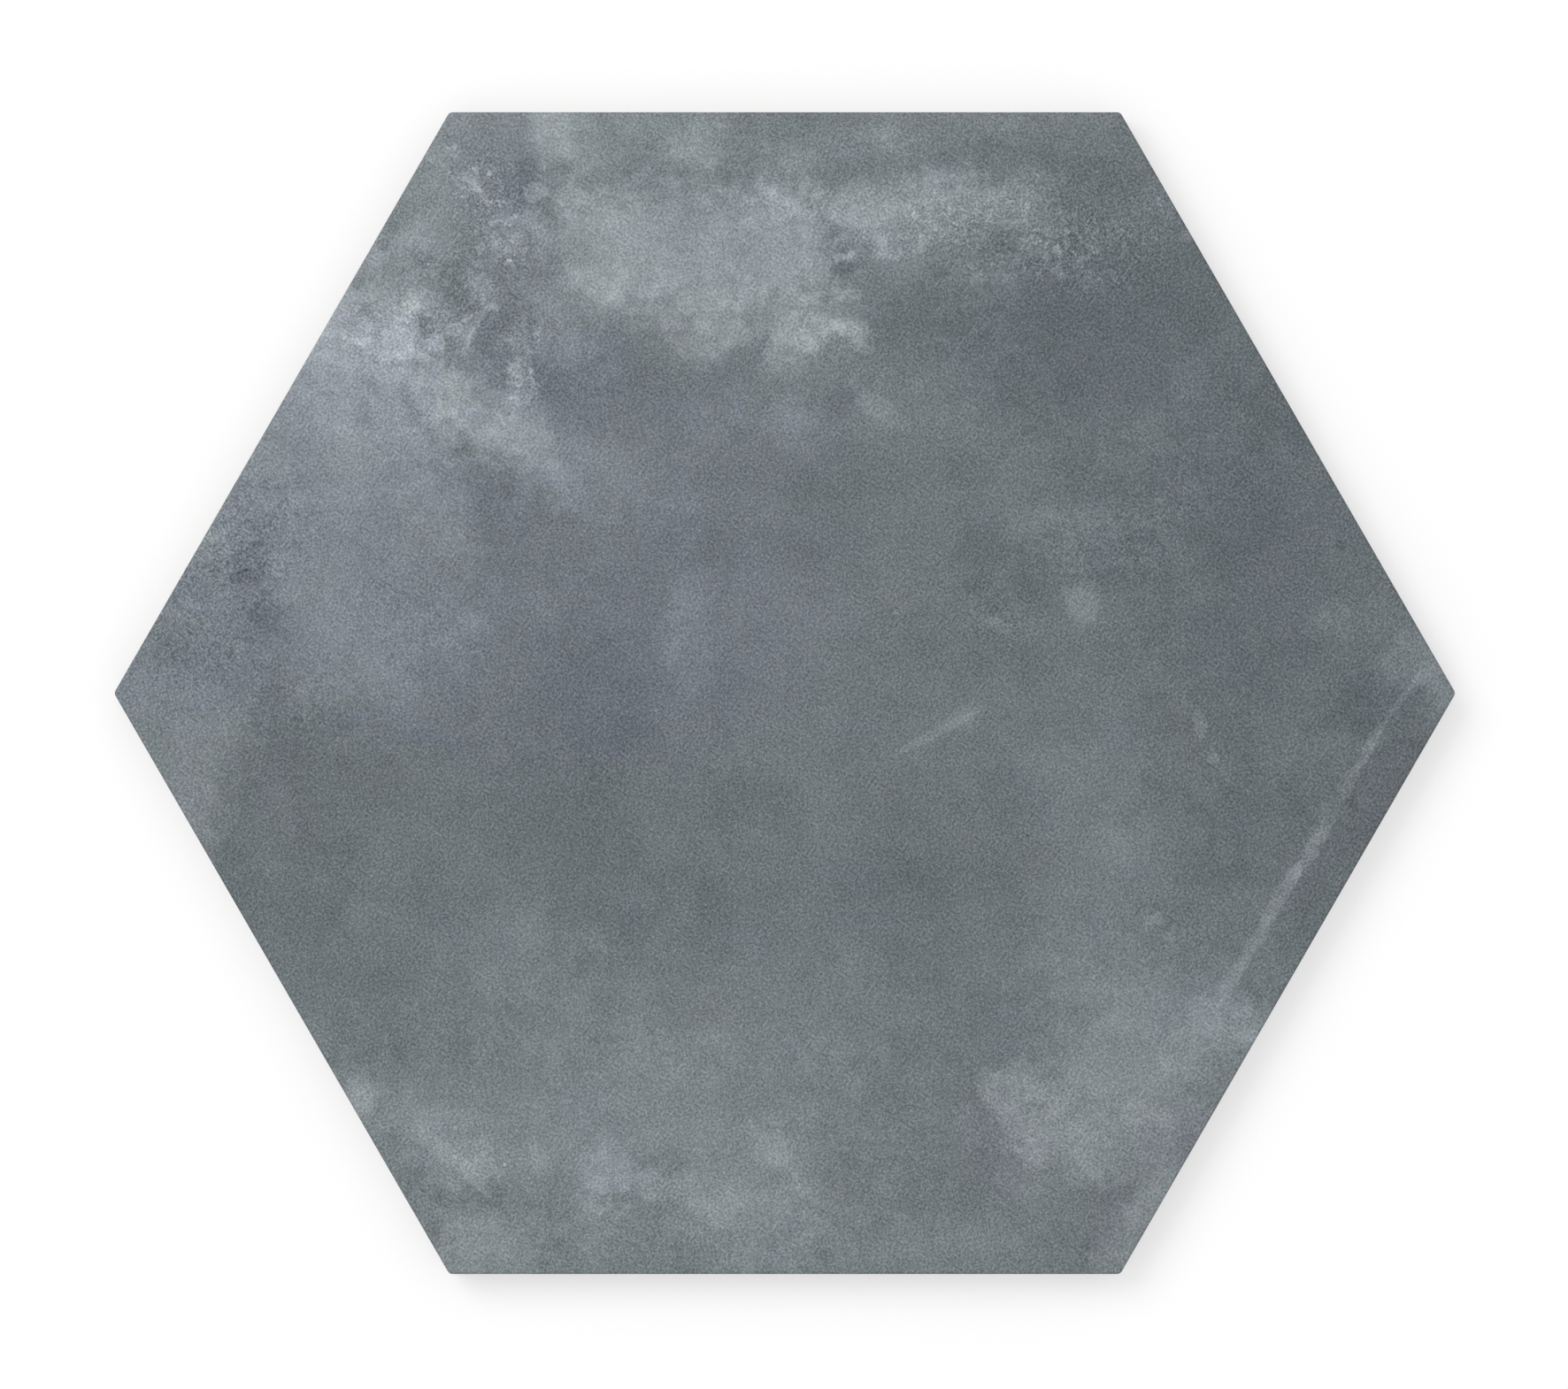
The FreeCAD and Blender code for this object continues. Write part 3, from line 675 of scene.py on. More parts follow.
# Thin washes over the clouds, by their turn in degrees. All have the same soft, torn edge, so
# each is only: x, y, half length, half width, lightness.
WASHES = {
    0: [(-93, 76, 6, 4, 7), (-61.5, 76, 4, 6, -6), (-75, 55.5, 3, 2.5, -6), (-79, 54, 5, 4, 5),
        (-97, 65, 6, 9, 5), (-46, 106.5, 4, 3, 8), (-61, 97, 4, 3.5, 7), (-46, 85.5, 4, 3, -6),
        (66, 29, 7, 5, 5), (71.5, -33, 3, 4, 5), (57, -82.5, 3, 2, -7), (-78, 97, 10, 6, 12),
        (-66, 84, 4, 5, 12), (-15, 96, 4, 10, 8), (-3, 81, 15, 6, 13), (1, 74, 5, 4.5, 8),
        (14, 82, 4, 7, 8), (7, 101, 8, 5, -13), (41, 110, 8, 13, -13), (24, 113, 9, 5, -6),
        (8, 121, 12, 4, -5), (-52, 112, 5, 6, -11), (-31, 110, 7, 4, -6), (-42, 95, 6, 4, -8),
        (-30, 88, 3.5, 3.5, -9), (-17, 115, 4, 8, 8), (2, 113, 7, 4, 7), (27, 80, 8, 7, -6),
        (80, 104, 7, 7, 6), (-110, 9, 13, 11, -7), (-138, -1, 8, 6, 5), (-86, 19, 8, 6, -4),
        (-84, 3, 6, 4, 5), (-74, 43, 6, 8, 6), (-101, -47, 10, 7, -6), (66, 30, 13, 6, -9),
        (64, 44, 12, 6, -7), (47, 8, 9, 6, -5), (78, 18, 5, 9, -5), (87, 57, 12, 7, 6),
        (18, 61, 20, 6, 5), (-16, 57, 6, 5, 5), (-58, 20, 9, 5, 5), (129, -3, 9, 8, -7),
        (125, 15, 7, 5, 7), (95, 0, 6, 22, -4), (0, -15, 16, 14, 3), (-16, -68, 50, 13, 6),
        (-28, -90, 14, 12, 6), (-50, -96, 8, 7, 7), (66, -58, 16, 10, 5), (70, -80, 16, 9, 8),
        (47, -93, 11, 5, 13), (66, -97, 15, 8, 11), (86, -76, 5, 6, 8), (54, -110, 9, 5, 6),
        (-8, -117, 16, 10, 12), (-62, -119, 16, 8, 12), (-71, -103, 8, 5, 9),
        (-41, -108, 7, 6, 7), (-26, -105, 5, 4, 8), (-35, -121, 12, 5, 8), (10, -99, 12, 7, -6),
        (-87, -76, 6, 5, -6), (-56, 60, 5, 5, 13), (-86, 66, 4, 8, 9), (-75, 90, 5, 9, 8),
        (-87, 94, 5, 5, 12), (-91, 80, 5, 4, -9), (-66, 58, 6, 5, 6), (-66, 72, 8, 5, 8),
        (8, 98, 9, 4, -11), (10, 88, 3, 3, -7), (1.5, 81, 4, 4, -9), (13, 105, 7, 4, 10),
        (14, 75, 6, 4, 8), (6, 70, 9, 4, 5), (26, 93, 6, 3.5, 6), (27, 100, 3, 3, -8),
        (54, 116, 6, 4, -8), (14, 115, 6, 3, -5), (-8, 117, 3, 7, -6), (-26, 124, 12, 4, 7),
        (-38, 105, 6, 4, 7), (-55, 101.5, 5, 3, 7), (-64, 96, 6, 4, -6), (-17, 105.5, 5, 3, -6),
        (-20, 84, 5, 3.5, -7), (-30, 81.5, 4, 3, 7), (-17, 76, 4, 5, 8), (-4, 62, 7, 9, 4),
        (54, 67, 9, 8, -5), (100, 35, 12, 11, -4.5), (44, 21, 4, 4, -7), (54, 26, 4, 7, -5),
        (69, 8, 6, 4, -5), (25, 22, 6, 5, 4.5), (-10, 40, 12, 3.5, 5), (-38, 32, 15, 6, 4),
        (-25, 13, 3.5, 8, 6.5), (-83, 29, 4, 4, 5), (-118, 33, 5, 6, 7), (-125, 22, 6, 4, 6.5),
        (-106, 54, 4, 4, -7), (-125, -1, 6, 3, 6), (-111, -4, 4, 5, -6), (-95, -5, 7, 4, -5),
        (-118, -17, 4, 6, -7.5), (-109, -26, 4, 6, 5), (-96, -35, 4, 5, -5), (-91, -48, 4, 4, 6),
        (-77, -44, 5, 6, -4), (-55, -46, 5, 12, 5), (-9, -22, 10, 6, -6.5),
        (-34, -13, 4, 8, -4.5), (-16, -50, 5, 11, -5.5), (28, -58, 7, 5, -5.5),
        (47, -22, 5, 6, -5), (50, -37, 5, 7, -4), (79, -19, 3, 7, -5.5), (96, -40, 10, 3, -6),
        (113, -21, 5, 4, -6), (75, -70, 8, 3, 5), (90, -71, 4, 6, 7), (100.5, -73.5, 4, 4, 13),
        (100, -65.5, 3, 3, -7), (50, -81, 5, 2.5, 7), (58, -90, 4.5, 4, -9), (52, -104, 5, 7, 7),
        (30, -117, 22, 5, 4.5), (69, -122, 4, 3, 10), (74, -98, 5, 3, -4), (1, -99, 4, 4, 9),
        (16, -97, 5, 4, 5.5), (9, -109, 2.5, 6, -7), (-5, -122, 5, 3, 8), (-25, -121, 7, 5, -7),
        (-26, -97, 12, 4, 5.5), (-36.5, -108.5, 3, 3, -7), (-45, -116, 4, 3, 6),
        (-70, -99, 4, 2.5, -5), (-80, -104, 4, 2.5, -6), (-70, 67, 4, 5, -6), (-59, 62, 3, 4, -3),
        (-52, 55, 3, 4, -5), (-78, 76, 1.5, 3, -4), (-30, 86, 4, 4, -8), (-22, 78, 3, 3, -4),
        (-18, 70, 5, 1.8, -5), (-12, 75, 3, 3, -5), (6, 74, 3, 2.5, -5), (2, 64, 5, 3, -5),
        (16, 80.5, 4, 2, -4), (45.5, -87, 3, 2.5, -5), (54, -97.5, 4, 2.5, -6),
        (-25.5, -101.5, 4, 3, -7), (-10.5, -111.5, 4, 3, -6), (-2, -95, 3, 2, -4),
        (-37, -105.5, 3, 2.5, -5), (-66, -99, 3, 2, -4), (-82, 90, 4, 3, -5),
        (-34, 110, 5, 3, -6), (-49, -123, 6, 2, -6), (13, 107, 4, 4, -5), (26, 110, 6, 3, -5),
        (36, 98, 4, 3, -5), (-34, -50, 6, 4, -5), (-33, -60, 5, 3, -4), (24, -38, 6, 4, -4),
        (-71, -3, 5, 4, -4), (-68, -27, 5, 4, -4), (-32, -80, 6, 3, -4), (-5, -77, 6, 3, -4),
        (83, 39, 5, 4, -4), (67, 30, 4, 3, -4), (73, 24, 3, 3, -4), (4, 30, 5, 4, -4),
        (110, 9, 5, 4, -4), (80, -6, 4, 5, -4), (88, -62, 4, 3, -4), (-91.5, 77, 6, 3, 8),
        (-80, 82.5, 2.5, 2, 5), (-64, 85.5, 3, 2.5, 5), (-44, 78, 6, 3, 4), (-15, 98, 5, 4, 5),
        (-10, 103, 4, 3, 6), (-13, 89, 4, 4, 5), (5, 88, 3, 4, 3), (-49, 105.5, 3, 2.5, 6),
        (65, 124, 6, 2, 8), (22, 118, 6, 2.5, 5), (33, 105, 3, 2.5, 5), (17, 60, 5, 3, 4),
        (73, 58, 6, 4, 4), (105, 48, 5, 5, 4), (-77, 51, 5, 3, 5), (-53, 40, 5, 4, 5),
        (-52, -14, 5, 5, 5), (9, -32, 6, 5, 5), (42, -4, 5, 4, 4), (142, 0, 2.5, 3, 8),
        (92, -65, 4, 3, 5), (63, -85, 8, 3, 6), (43, -95, 3, 3, 4), (64, -113, 4, 4, 6),
        (-54, -102, 4, 6, 6), (-42, -110.5, 3, 2, 5), (-16, -100, 4, 3, 4), (10, -81, 6, 4, 4),
        (-91, -88, 2, 3, 4), (-83, 52, 3, 3, -4), (-61, 66, 2.5, 4, -7), (-59, 57, 2.5, 3, -5),
        (-73, 72, 4, 4, -5), (-68.5, 88, 2.5, 6, -4), (-76, 93, 4, 3, -5), (-68, 102, 4, 5, -5),
        (-50, 118, 3, 5, -5), (-56, 93, 4, 2, -4), (-43.5, 93, 3, 3, -6), (-19, 77, 4, 5, -5),
        (9.5, 91, 3, 3, -6), (20, 98, 8, 2.5, -5), (20, 109, 3, 3, -4), (32, 115, 3, 3, -5),
        (68, 112, 9, 3, -5), (10, 124, 12, 2, -5), (38, 80, 3, 3, -4), (-25, 63, 4, 3, -4),
        (40, 48, 5, 4, -4), (65, 43, 4, 3, -4), (-82, 13, 4, 3, -5), (-43, 7, 3, 4, -4),
        (-13, 0, 3, 10, -4), (-122, -26, 4, 3, -5), (-23, -42, 4, 4, -5), (27, -29, 4, 3, -4),
        (74, -27, 4, 5, -4), (88, -35, 3, 9, -4), (117, -7, 5, 3, -5), (-3, -96, 4, 4, -6),
        (18, -118, 8, 2.5, -5), (-62, -122, 4, 3, -5), (-80, 82, 3, 2, 5),
        (-91, 73.5, 4.5, 2.5, 8), (-96, 61, 4, 4, 6), (-91, 55, 6, 3, 5), (-77, 62.5, 3, 1.5, 5),
        (-61, 106, 4, 2.5, 5), (-63, 123, 5, 2, 5), (-43, 123, 2.5, 2.5, 6),
        (-29, 89.5, 6, 2.5, 7), (-20, 98, 3, 3, 5), (-40, 84, 5, 2.5, 5), (-24, 117, 4, 3, 5),
        (-18, 112, 5, 3, 5), (-2, 117, 5, 2, 5), (44, 122, 6, 2.5, 6), (70, 103, 3, 4, 6),
        (46, 89, 5, 2.5, 5), (55, 69, 5, 4, 5), (86, 67, 4, 4, 5), (-35, 45, 5, 4, 5),
        (-72, 38, 3, 5, 5), (-110, 31, 3, 6, 5), (-71, 14, 4, 4, 5), (-39, 16, 6, 3, 5),
        (4, 15, 4, 5, 5), (-101, 3, 5, 3, 5), (70, -4, 5, 2.5, 4), (83, 10, 3, 3, 4),
        (-12, -72, 5, 3, 4), (-55, -90, 5, 4, 4), (-87, -83, 3, 3, 5), (-80, -101, 4, 3, 6),
        (-73, -110, 3, 5, 6), (-50, -108, 9, 2, 6), (-43, -120, 4, 5, 6), (-30, -106, 2, 4, 5),
        (18, -112, 6, 2, 5), (79, -91, 3, 3, 5), (67, -123, 3, 2, 6), (-65, 108, 4, 8, -7),
        (-54.5, 66, 4, 6, -5), (-94, 69, 5, 3, -7), (-92, 78, 4, 2, -4), (-77.5, 83, 3, 2, 7),
        (-62, 85, 3, 2.5, 5), (-54, 84, 4, 2.5, 5), (-76, 62.5, 3, 2, 4), (2, -118, 3, 5, -5),
        (44.5, -88, 3, 3, -4), (84, -87, 3, 4, -4), (-39, -116, 4, 3, -4), (-87, 81, 5, 7, 5),
        (-85, 60, 4, 8, 5), (-97, 70, 5, 6, 4), (-57, 76, 5, 5, 6), (-55, 66, 4, 4, 6),
        (-52, 107, 4, 6, 3), (65, 93, 9, 6, 5), (57, 101, 5, 4, 4), (30, 106, 6, 5, 4),
        (47, 110, 5, 3, 4), (31, 97, 4, 4, 3), (5, 80, 10, 4, 4), (-3, 85, 3, 3, 3),
        (57, 35, 7, 4, 4), (80, 33, 4, 4, 3), (78, 46, 6, 3, 3), (-8, 21, 4, 4, 4),
        (45, 61, 5, 2, 3), (-69, 53, 4, 2, 4), (-77, 52, 3, 2, 4), (-22, 90, 3, 3, 3),
        (-58, 82, 4, 3, 4), (-66, 70, 4, 3, 4), (-125, 22, 4, 3, -4), (-105, 16, 4, 4, -3),
        (-86, 20, 6, 4, -3), (-74, 22, 4, 4, -4), (-90, 11, 4, 3, -3), (108, -40, 4, 3, -4),
        (116, -29, 3, 4, -3), (55, -27, 4, 3, -3), (0, -27, 5, 3, -4), (92, -54, 6, 3, -3),
        (55, -95, 4, 4, -5), (-69, -98, 4, 3, -4), (-57, -104, 3, 3, -4), (-62, -113, 4, 3, -4),
        (62, -104, 4, 2, -4), (15, -92, 4, 3, -4), (35, -64, 8, 3, -3), (-70, 112, 3, 6, -4),
        (130, 5, 7, 3, -3), (-72, -10, 8, 6, -3), (-88, -92, 3, 2, 4), (-48, -95, 3, 3, 4),
        (-76, 63, 3, 2, 5), (-63, 71.5, 4, 2, 6), (-63.5, 62, 3, 3, 4), (-70, 77, 3, 2, 4),
        (-58.5, 53, 3, 2, 4), (-88, 70, 4, 4, 4), (-78, 84, 3, 3, 4), (-96, 63, 3, 2, 3),
        (-38, 107, 2, 6, 4), (49, 91, 4, 5, 5), (54, 97, 3, 3, -3), (82, 87, 3, 3, 4),
        (-6, 77, 2, 4, 4), (14, 108, 3, 3, 4), (1, 104, 3, 3, -4), (-14, 104, 3, 3, -4),
        (-16, 56, 3, 5, 4), (23, 72, 4, 3, 3), (57, 112, 3, 3, 4), (-52, 27, 4, 4, 3),
        (122, 3, 3, 2, 4), (134, 8, 3, 2, 3), (-8, -31, 4, 3, 4), (95, -35, 2, 4, 4),
        (75, -53, 4, 3, -3), (-46, 41, 3, 3, -3), (31, -74, 4, 3, -3), (-61, 87, 11, 10, -2.4),
        (-73, 84, 10, 8, -1), (-38.5, -103, 4, 4, -6), (-1.5, -99, 4, 3, -5), (-62, 98, 4, 5, -5),
        (45, -87, 3, 4, -4), (36, 105, 3, 2.5, -4), (28, 99, 3, 2.5, -3), (-118, 31, 2.5, 3.5, 5),
        (-103, -2, 4, 3, 4), (-58.5, 75, 3, 2.5, 6), (-76, 63, 3, 2, 3), (-84, 64, 3, 2, 3),
        (-83, 87, 3, 2.5, 4), (-94.5, 83.5, 3, 2, 5), (-48, 87, 3, 3.5, 5), (-79, 95, 3, 2.5, 4),
        (-56, 60, 3, 3, 3), (-79, 71, 5, 2, 4), (44, 20, 4, 3, -4), (87, 0, 3, 2.5, -4),
        (37, 13, 4, 2.5, -3), (13, 85, 3, 3, 4), (0, 98, 3, 3, 4), (2, 82, 3, 2.5, -4),
        (-53, 99, 3, 2, 4), (-44, 102, 3, 3, -3), (-34, 57, 5, 2.5, 3), (98, 50, 3, 3, 3),
        (-108, 48, 3, 3, 4), (31, -8, 4, 3, 4), (-126, 21.5, 3, 2, -3), (-129, -11.5, 3, 2.5, -4),
        (5, -33, 55, 15, -1.2), (-10, 56, 60, 7, 1.5), (-26, 96, 14, 10, 1.2),
        (62, 110, 9, 6, 1.5), (-55, 85, 3, 2, 3), (-69.5, 58.5, 3, 3, -4), (-51, 77, 3, 2, -3),
        (-76, 0, 22, 6, -1.5), (-54, 17, 8, 5, 2), (88, -80, 12, 8, -1.2)],
    -60: [(-126, -30, 7, 3, 8)],
    -40: [(-67.5, 70, 5, 4, -4), (50, -93, 5, 2.5, 5)],
    -38: [(-60, 54, 19, 7, 13)],
    -30: [(-71, 66, 8, 5, 8), (-97, 74, 8, 11, 11), (-124, 36, 5, 10, 8), (-132, 17, 5, 6, 8),
        (117, -40, 5, 15, -8), (79, -112, 6, 14, 11), (-74, 68, 7, 6, 10), (-47, 52, 8, 6, 6),
        (-98, 76, 4, 6, 10), (80, -107, 5, 7, 6), (120, -26, 3, 4, -6), (135, -8, 3, 4, -4),
        (-77, 62, 4, 2.5, 8), (-40, 85.5, 4, 2.5, 4), (124.5, -14.5, 2.5, 3, 4),
        (-73, -104, 4, 2, 6), (110, -56, 3, 4, -4), (-96, 26, 4, 8, 4), (140, -5, 2, 4, 5),
        (72, -114, 3, 5, 6), (-72, -98, 5, 2.5, -4), (113, 49, 3, 3, 4)],
    -20: [(-78, 67, 7, 4, 6), (-62, 62, 5, 3, 8), (23.5, 58.5, 3, 2, 6), (-62, 50, 9, 3, -9),
        (-41, 80, 6, 4, -6), (-69, -91.5, 10, 2.5, 8), (-48, 90, 4, 2.5, 6), (-64, 45, 5, 3, 5),
        (-54, 50, 5, 2.5, 6), (-75, -89, 5, 2, 4), (-47, 60, 4, 2, 4)],
    -12: [(-44, 84, 16, 3.5, 11)],
    -10: [(57, -76, 8, 3, -6.5), (-74, 57.5, 7, 2.5, -7)],
    5: [(-40, 68, 17, 5, -6)],
    15: [(-94, 49, 15, 6, -6)],
    20: [(66, 87, 18, 8, -5)],
    30: [(-48, -30, 13, 18, -6), (-117, -40, 4, 8, -5), (102, 72, 6, 10, 5),
        (101, -29, 12, 10, -7), (101, -71, 4, 6, 8), (-88, -88, 4, 6, 8), (-101, -74, 4, 7, 7),
        (-116, 44, 4, 6, 7), (-77, -111.5, 4, 5, 9.5), (-81, -66, 6, 3, 5), (-84, 101, 4, 3, -7),
        (-94, 85, 3, 3.5, 8), (-75, 118, 3, 4, 7), (92, 74, 5, 3, 5), (-103, 60, 4, 5, 5),
        (-80, -97, 3.5, 3, 7), (-118, -45, 3, 5, -4), (92, -80, 4, 3, -5), (-79, 109, 4, 3, 6)],
    45: [(87, 83, 5, 6, -5)],
}

# Torn marks that are clear on the side that their length points to, and fade away from it
SIDED = [
    (-46, 119, 9, 9, 180, 0.25, 0.3, 9, -0.1), (-67, 60, 9, 7, 218, 0.3, 0.3, 15, -0.5),
    (-57, 56, 10, 7, 240, 0.35, 0.3, 15, -0.4), (-18, 14, 8, 13, 180, 0.25, 0.2, 4, 0.2),
    (-125, -18, 9, 16, -12, 0.25, 0.25, 5, -0.3), (-96, -18, 16, 18, 135, 0.25, 0.25, -3, -0.5),
    (-59, 42, 10, 9, 100, 0.5, 0.3, -8, 0.5), (-47, 66, 10, 11, 180, 0.3, 0.3, -5, 0.5),
]

# Scratched marks, which hatching tears
HATCHES = [
    (-76, 110, 6, 7, 0, 1, 1, 5), (-67, 109, 5, 6, 0, 0.8, 1.2, 12),
    (-61, 99, 5, 7, 0, 1, 1.2, 11), (-52, 111, 5, 4, 0, 1, 1.2, 5), (-64, 55, 6, 4, 0, 1, 1, 5),
]

# Marks as crisp as the print is fine on the side that their length points to
CRISP = [
    (-85, 78, 5.6, 7.4, 0, 0.15, 12, 0.2), (-85, 75.5, 4.4, 7, 270, 0.2, 5, 0.2),
    (-64.5, 60, 6, 13, 235, 0.3, 4, -0.3), (-58, 63, 5, 8, 15, 0.3, 4, -0.2),
    (-47, 76, 6, 7, 270, 0.2, 5), (-36, 90, 7, 13, 240, 0.2, 7, -0.2),
    (-17.5, 79.2, 7, 8.5, 270, 0.2, 8), (0.5, 77, 6, 6, 270, 0.2, 8),
    (13, 77.5, 4.5, 3.4, 320, 0.3, 9), (1, 91, 8.7, 10, 0, 0.12, 10),
    (16, 105, 5.5, 8, 270, 0.25, 7), (51.5, -85.5, 8.2, 6, 180, 0.1, 9),
    (55, -96, 6.5, 6, 215, 0.12, 5), (66.4, -101, 3.6, 3, 270, 0.3, 7),
    (-70.5, -96.5, 5.5, 12, 235, 0.2, 9), (-38, -103, 4.5, 7, 270, 0.2, 10, 0.3),
    (-3.5, -98.5, 5, 5.5, 50, 0.15, 8), (-14, -109, 6, 7, 250, 0.2, 4),
]

# Where the print is flecked, and how light or dark its flecks are, in the washes' form
FLECKS = {
    0: [(50, 100, 17, 11, 14), (27, 103, 16, 9, 11), (67, 94, 13, 9, 13), (8, 77, 10, 5, 10),
        (78, 102, 8, 7, 8), (20, 118, 12, 4, 6), (68, 33, 16, 9, 7), (46, 16, 9, 6, 6),
        (86, 42, 7, 5, 7), (-82, 56, 10, 8, 8), (-112, 34, 12, 12, -12), (-82, 20, 10, 18, -7),
        (-86, 77, 11, 8, 14), (-57, 67, 5, 5, 20), (-57, 77, 5, 5, 14), (-61, 100, 9, 9, 14),
        (-66, 109, 8, 8, 13), (-73, 84, 10, 8, 13), (-47, 76, 8, 6, 5), (-61, 87, 11, 10, 7),
        (-108, -4, 12, 10, -8), (0, 106, 14, 5, 7), (-70, -100, 14, 8, 6), (60, -92, 14, 12, 5),
        (-30, -112, 18, 9, 5)],
    -20: [(-126, 16, 13, 22, -13)],
}

# Thin drags and scratches, and small flecks
STROKES = [
    (133.4, -0.2, 6.4, 0.7, 54, 0.6, 14, 0.3), (127.6, -9.4, 5.5, 0.35, 60, 0.8, 9),
    (111, -38.5, 7, 0.3, 60, 0.8, 8), (99.5, -57, 7, 0.35, 60, 0.8, 7),
    (32.5, -8.6, 10.5, 1.1, 28, 0.6, 11), (38.6, -5, 4.6, 1.8, 30, 0.7, 8),
    (80.9, 104.5, 2.6, 0.25, -70, 0.6, 14), (81.9, 101.3, 1.4, 0.25, 70, 0.6, 12),
    (-53, 111.5, 3.6, 0.3, -35, 0.6, 13), (-72.5, 112.2, 4, 0.35, -52, 0.7, 8),
    (-65.8, 80, 4.6, 0.6, 62, 0.6, 17), (-68.3, 75, 3.2, 0.6, 80, 0.6, 15),
    (-53.6, 66.6, 0.9, 0.5, 0, 0.6, 18), (-54.6, 69.6, 0.6, 0.8, 0, 0.6, 16),
    (-58, 68.6, 2.4, 0.5, -30, 0.6, 10), (73, 99.4, 3, 0.3, -35, 0.7, 9),
    (71, 89.2, 0.5, 1.2, 0, 0.6, 11), (74.2, 87.1, 0.9, 0.4, -20, 0.6, 13),
    (66.4, 95.4, 1.6, 0.8, -30, 0.5, 15), (58.2, 95.4, 0.8, 0.7, 0, 0.5, 14),
    (-80.6, -66.9, 1.7, 1.9, 0, 0.4, 7), (-80.6, -66.9, 1, 1.2, 0, 0.4, -7),
    (-66, -106, 4.4, 0.6, -42, 0.7, 9), (-59.2, 93.1, 0.6, 0.3, 0, 0.5, 60),
    (-76.7, 92.3, 0.3, 0.3, 0, 0.6, 36), (-56.2, 92.4, 0.5, 0.35, 0, 0.6, 20),
    (-66.6, 112.3, 0.9, 0.5, -45, 0.5, 34), (-63.4, 111.8, 0.5, 0.6, 0, 0.5, 34),
    (-70.9, 117.6, 0.6, 0.5, 0, 0.5, 26), (-51.6, 113, 0.4, 0.4, 0, 0.6, 26),
    (-48, 105.2, 0.9, 0.4, -45, 0.5, 18), (-57.6, 102.7, 1.1, 0.5, 10, 0.6, 16),
    (27.8, 103, 0.35, 0.8, -10, 0.5, 28), (32.2, 107.6, 0.35, 0.3, 0, 0.6, 26),
    (4.4, 104.9, 0.35, 0.3, 0, 0.6, 22), (-19.8, 109.8, 0.4, 0.3, 0, 0.6, 20),
    (-27.8, 86.6, 0.8, 2.2, -15, 0.6, 12), (67.2, 112.2, 0.3, 0.3, 0, 0.6, 26),
    (54.5, 111.2, 0.5, 0.5, 0, 0.6, 18), (46.4, 94.2, 0.7, 0.5, 0, 0.5, 18),
    (24, 17.4, 0.7, 0.4, 0, 0.6, 16), (97, 70.5, 0.6, 0.4, 0, 0.6, 14),
    (54.6, 97.2, 0.9, 0.4, 0, 0.5, 14), (58.6, 96, 0.6, 0.5, 0, 0.5, 14),
    (57.6, 91, 1, 0.4, -20, 0.5, 13), (64, 93, 0.5, 0.5, 0, 0.5, 12),
    (40, 101.6, 0.9, 0.4, 0, 0.5, 12), (54.4, 109.6, 0.4, 0.7, 0, 0.5, 14),
    (72, 99, 1.6, 0.35, -50, 0.5, 11), (75.6, 103.4, 1.2, 0.35, -50, 0.5, 11),
    (49.2, 118, 0.4, 0.6, 0, 0.5, 12), (21.6, 119.4, 0.8, 0.5, 0, 0.5, 13),
    (-61.6, 97.2, 1.4, 0.35, 60, 0.5, 13, 0.3), (-60, 95.4, 1.6, 0.35, 60, 0.5, 12, 0.3),
    (-64.6, 105.8, 2.2, 0.3, -50, 0.5, 13), (-69.2, 108.8, 0.7, 0.5, 0, 0.5, 14),
    (-58.4, 102.4, 0.9, 0.4, 10, 0.5, 12), (-57.4, 68, 0.9, 0.7, 0, 0.5, 13),
    (-58.8, 70.2, 0.6, 0.5, 0, 0.5, 12), (-94.6, 77.4, 0.9, 0.6, 0, 0.5, 10),
    (-88.4, 83, 0.6, 0.5, 0, 0.5, 13), (98.5, 0.8, 0.4, 0.4, 0, 0.6, 22),
    (-59.6, 60.1, 0.7, 0.5, 0, 0.5, -20), (-86.5, 96.5, 1.5, 1.2, 0, 0.6, -12, -0.5),
    (-70.8, -93.6, 0.4, 0.35, 0, 0.6, 38), (-71, -99.8, 0.4, 0.4, 0, 0.6, 20),
    (-60.2, -101.4, 0.4, 0.4, 0, 0.6, 34), (-7.6, -92, 0.4, 0.35, 0, 0.6, 28),
    (119.6, 31.8, 1, 1.2, 0, 0.5, -13), (-28, -3.6, 0.8, 0.5, 0, 0.6, 10),
    (-65.4, 8.4, 1.4, 0.4, -50, 0.6, 9), (68.6, -24.2, 0.8, 0.7, 0, 0.6, 10),
]


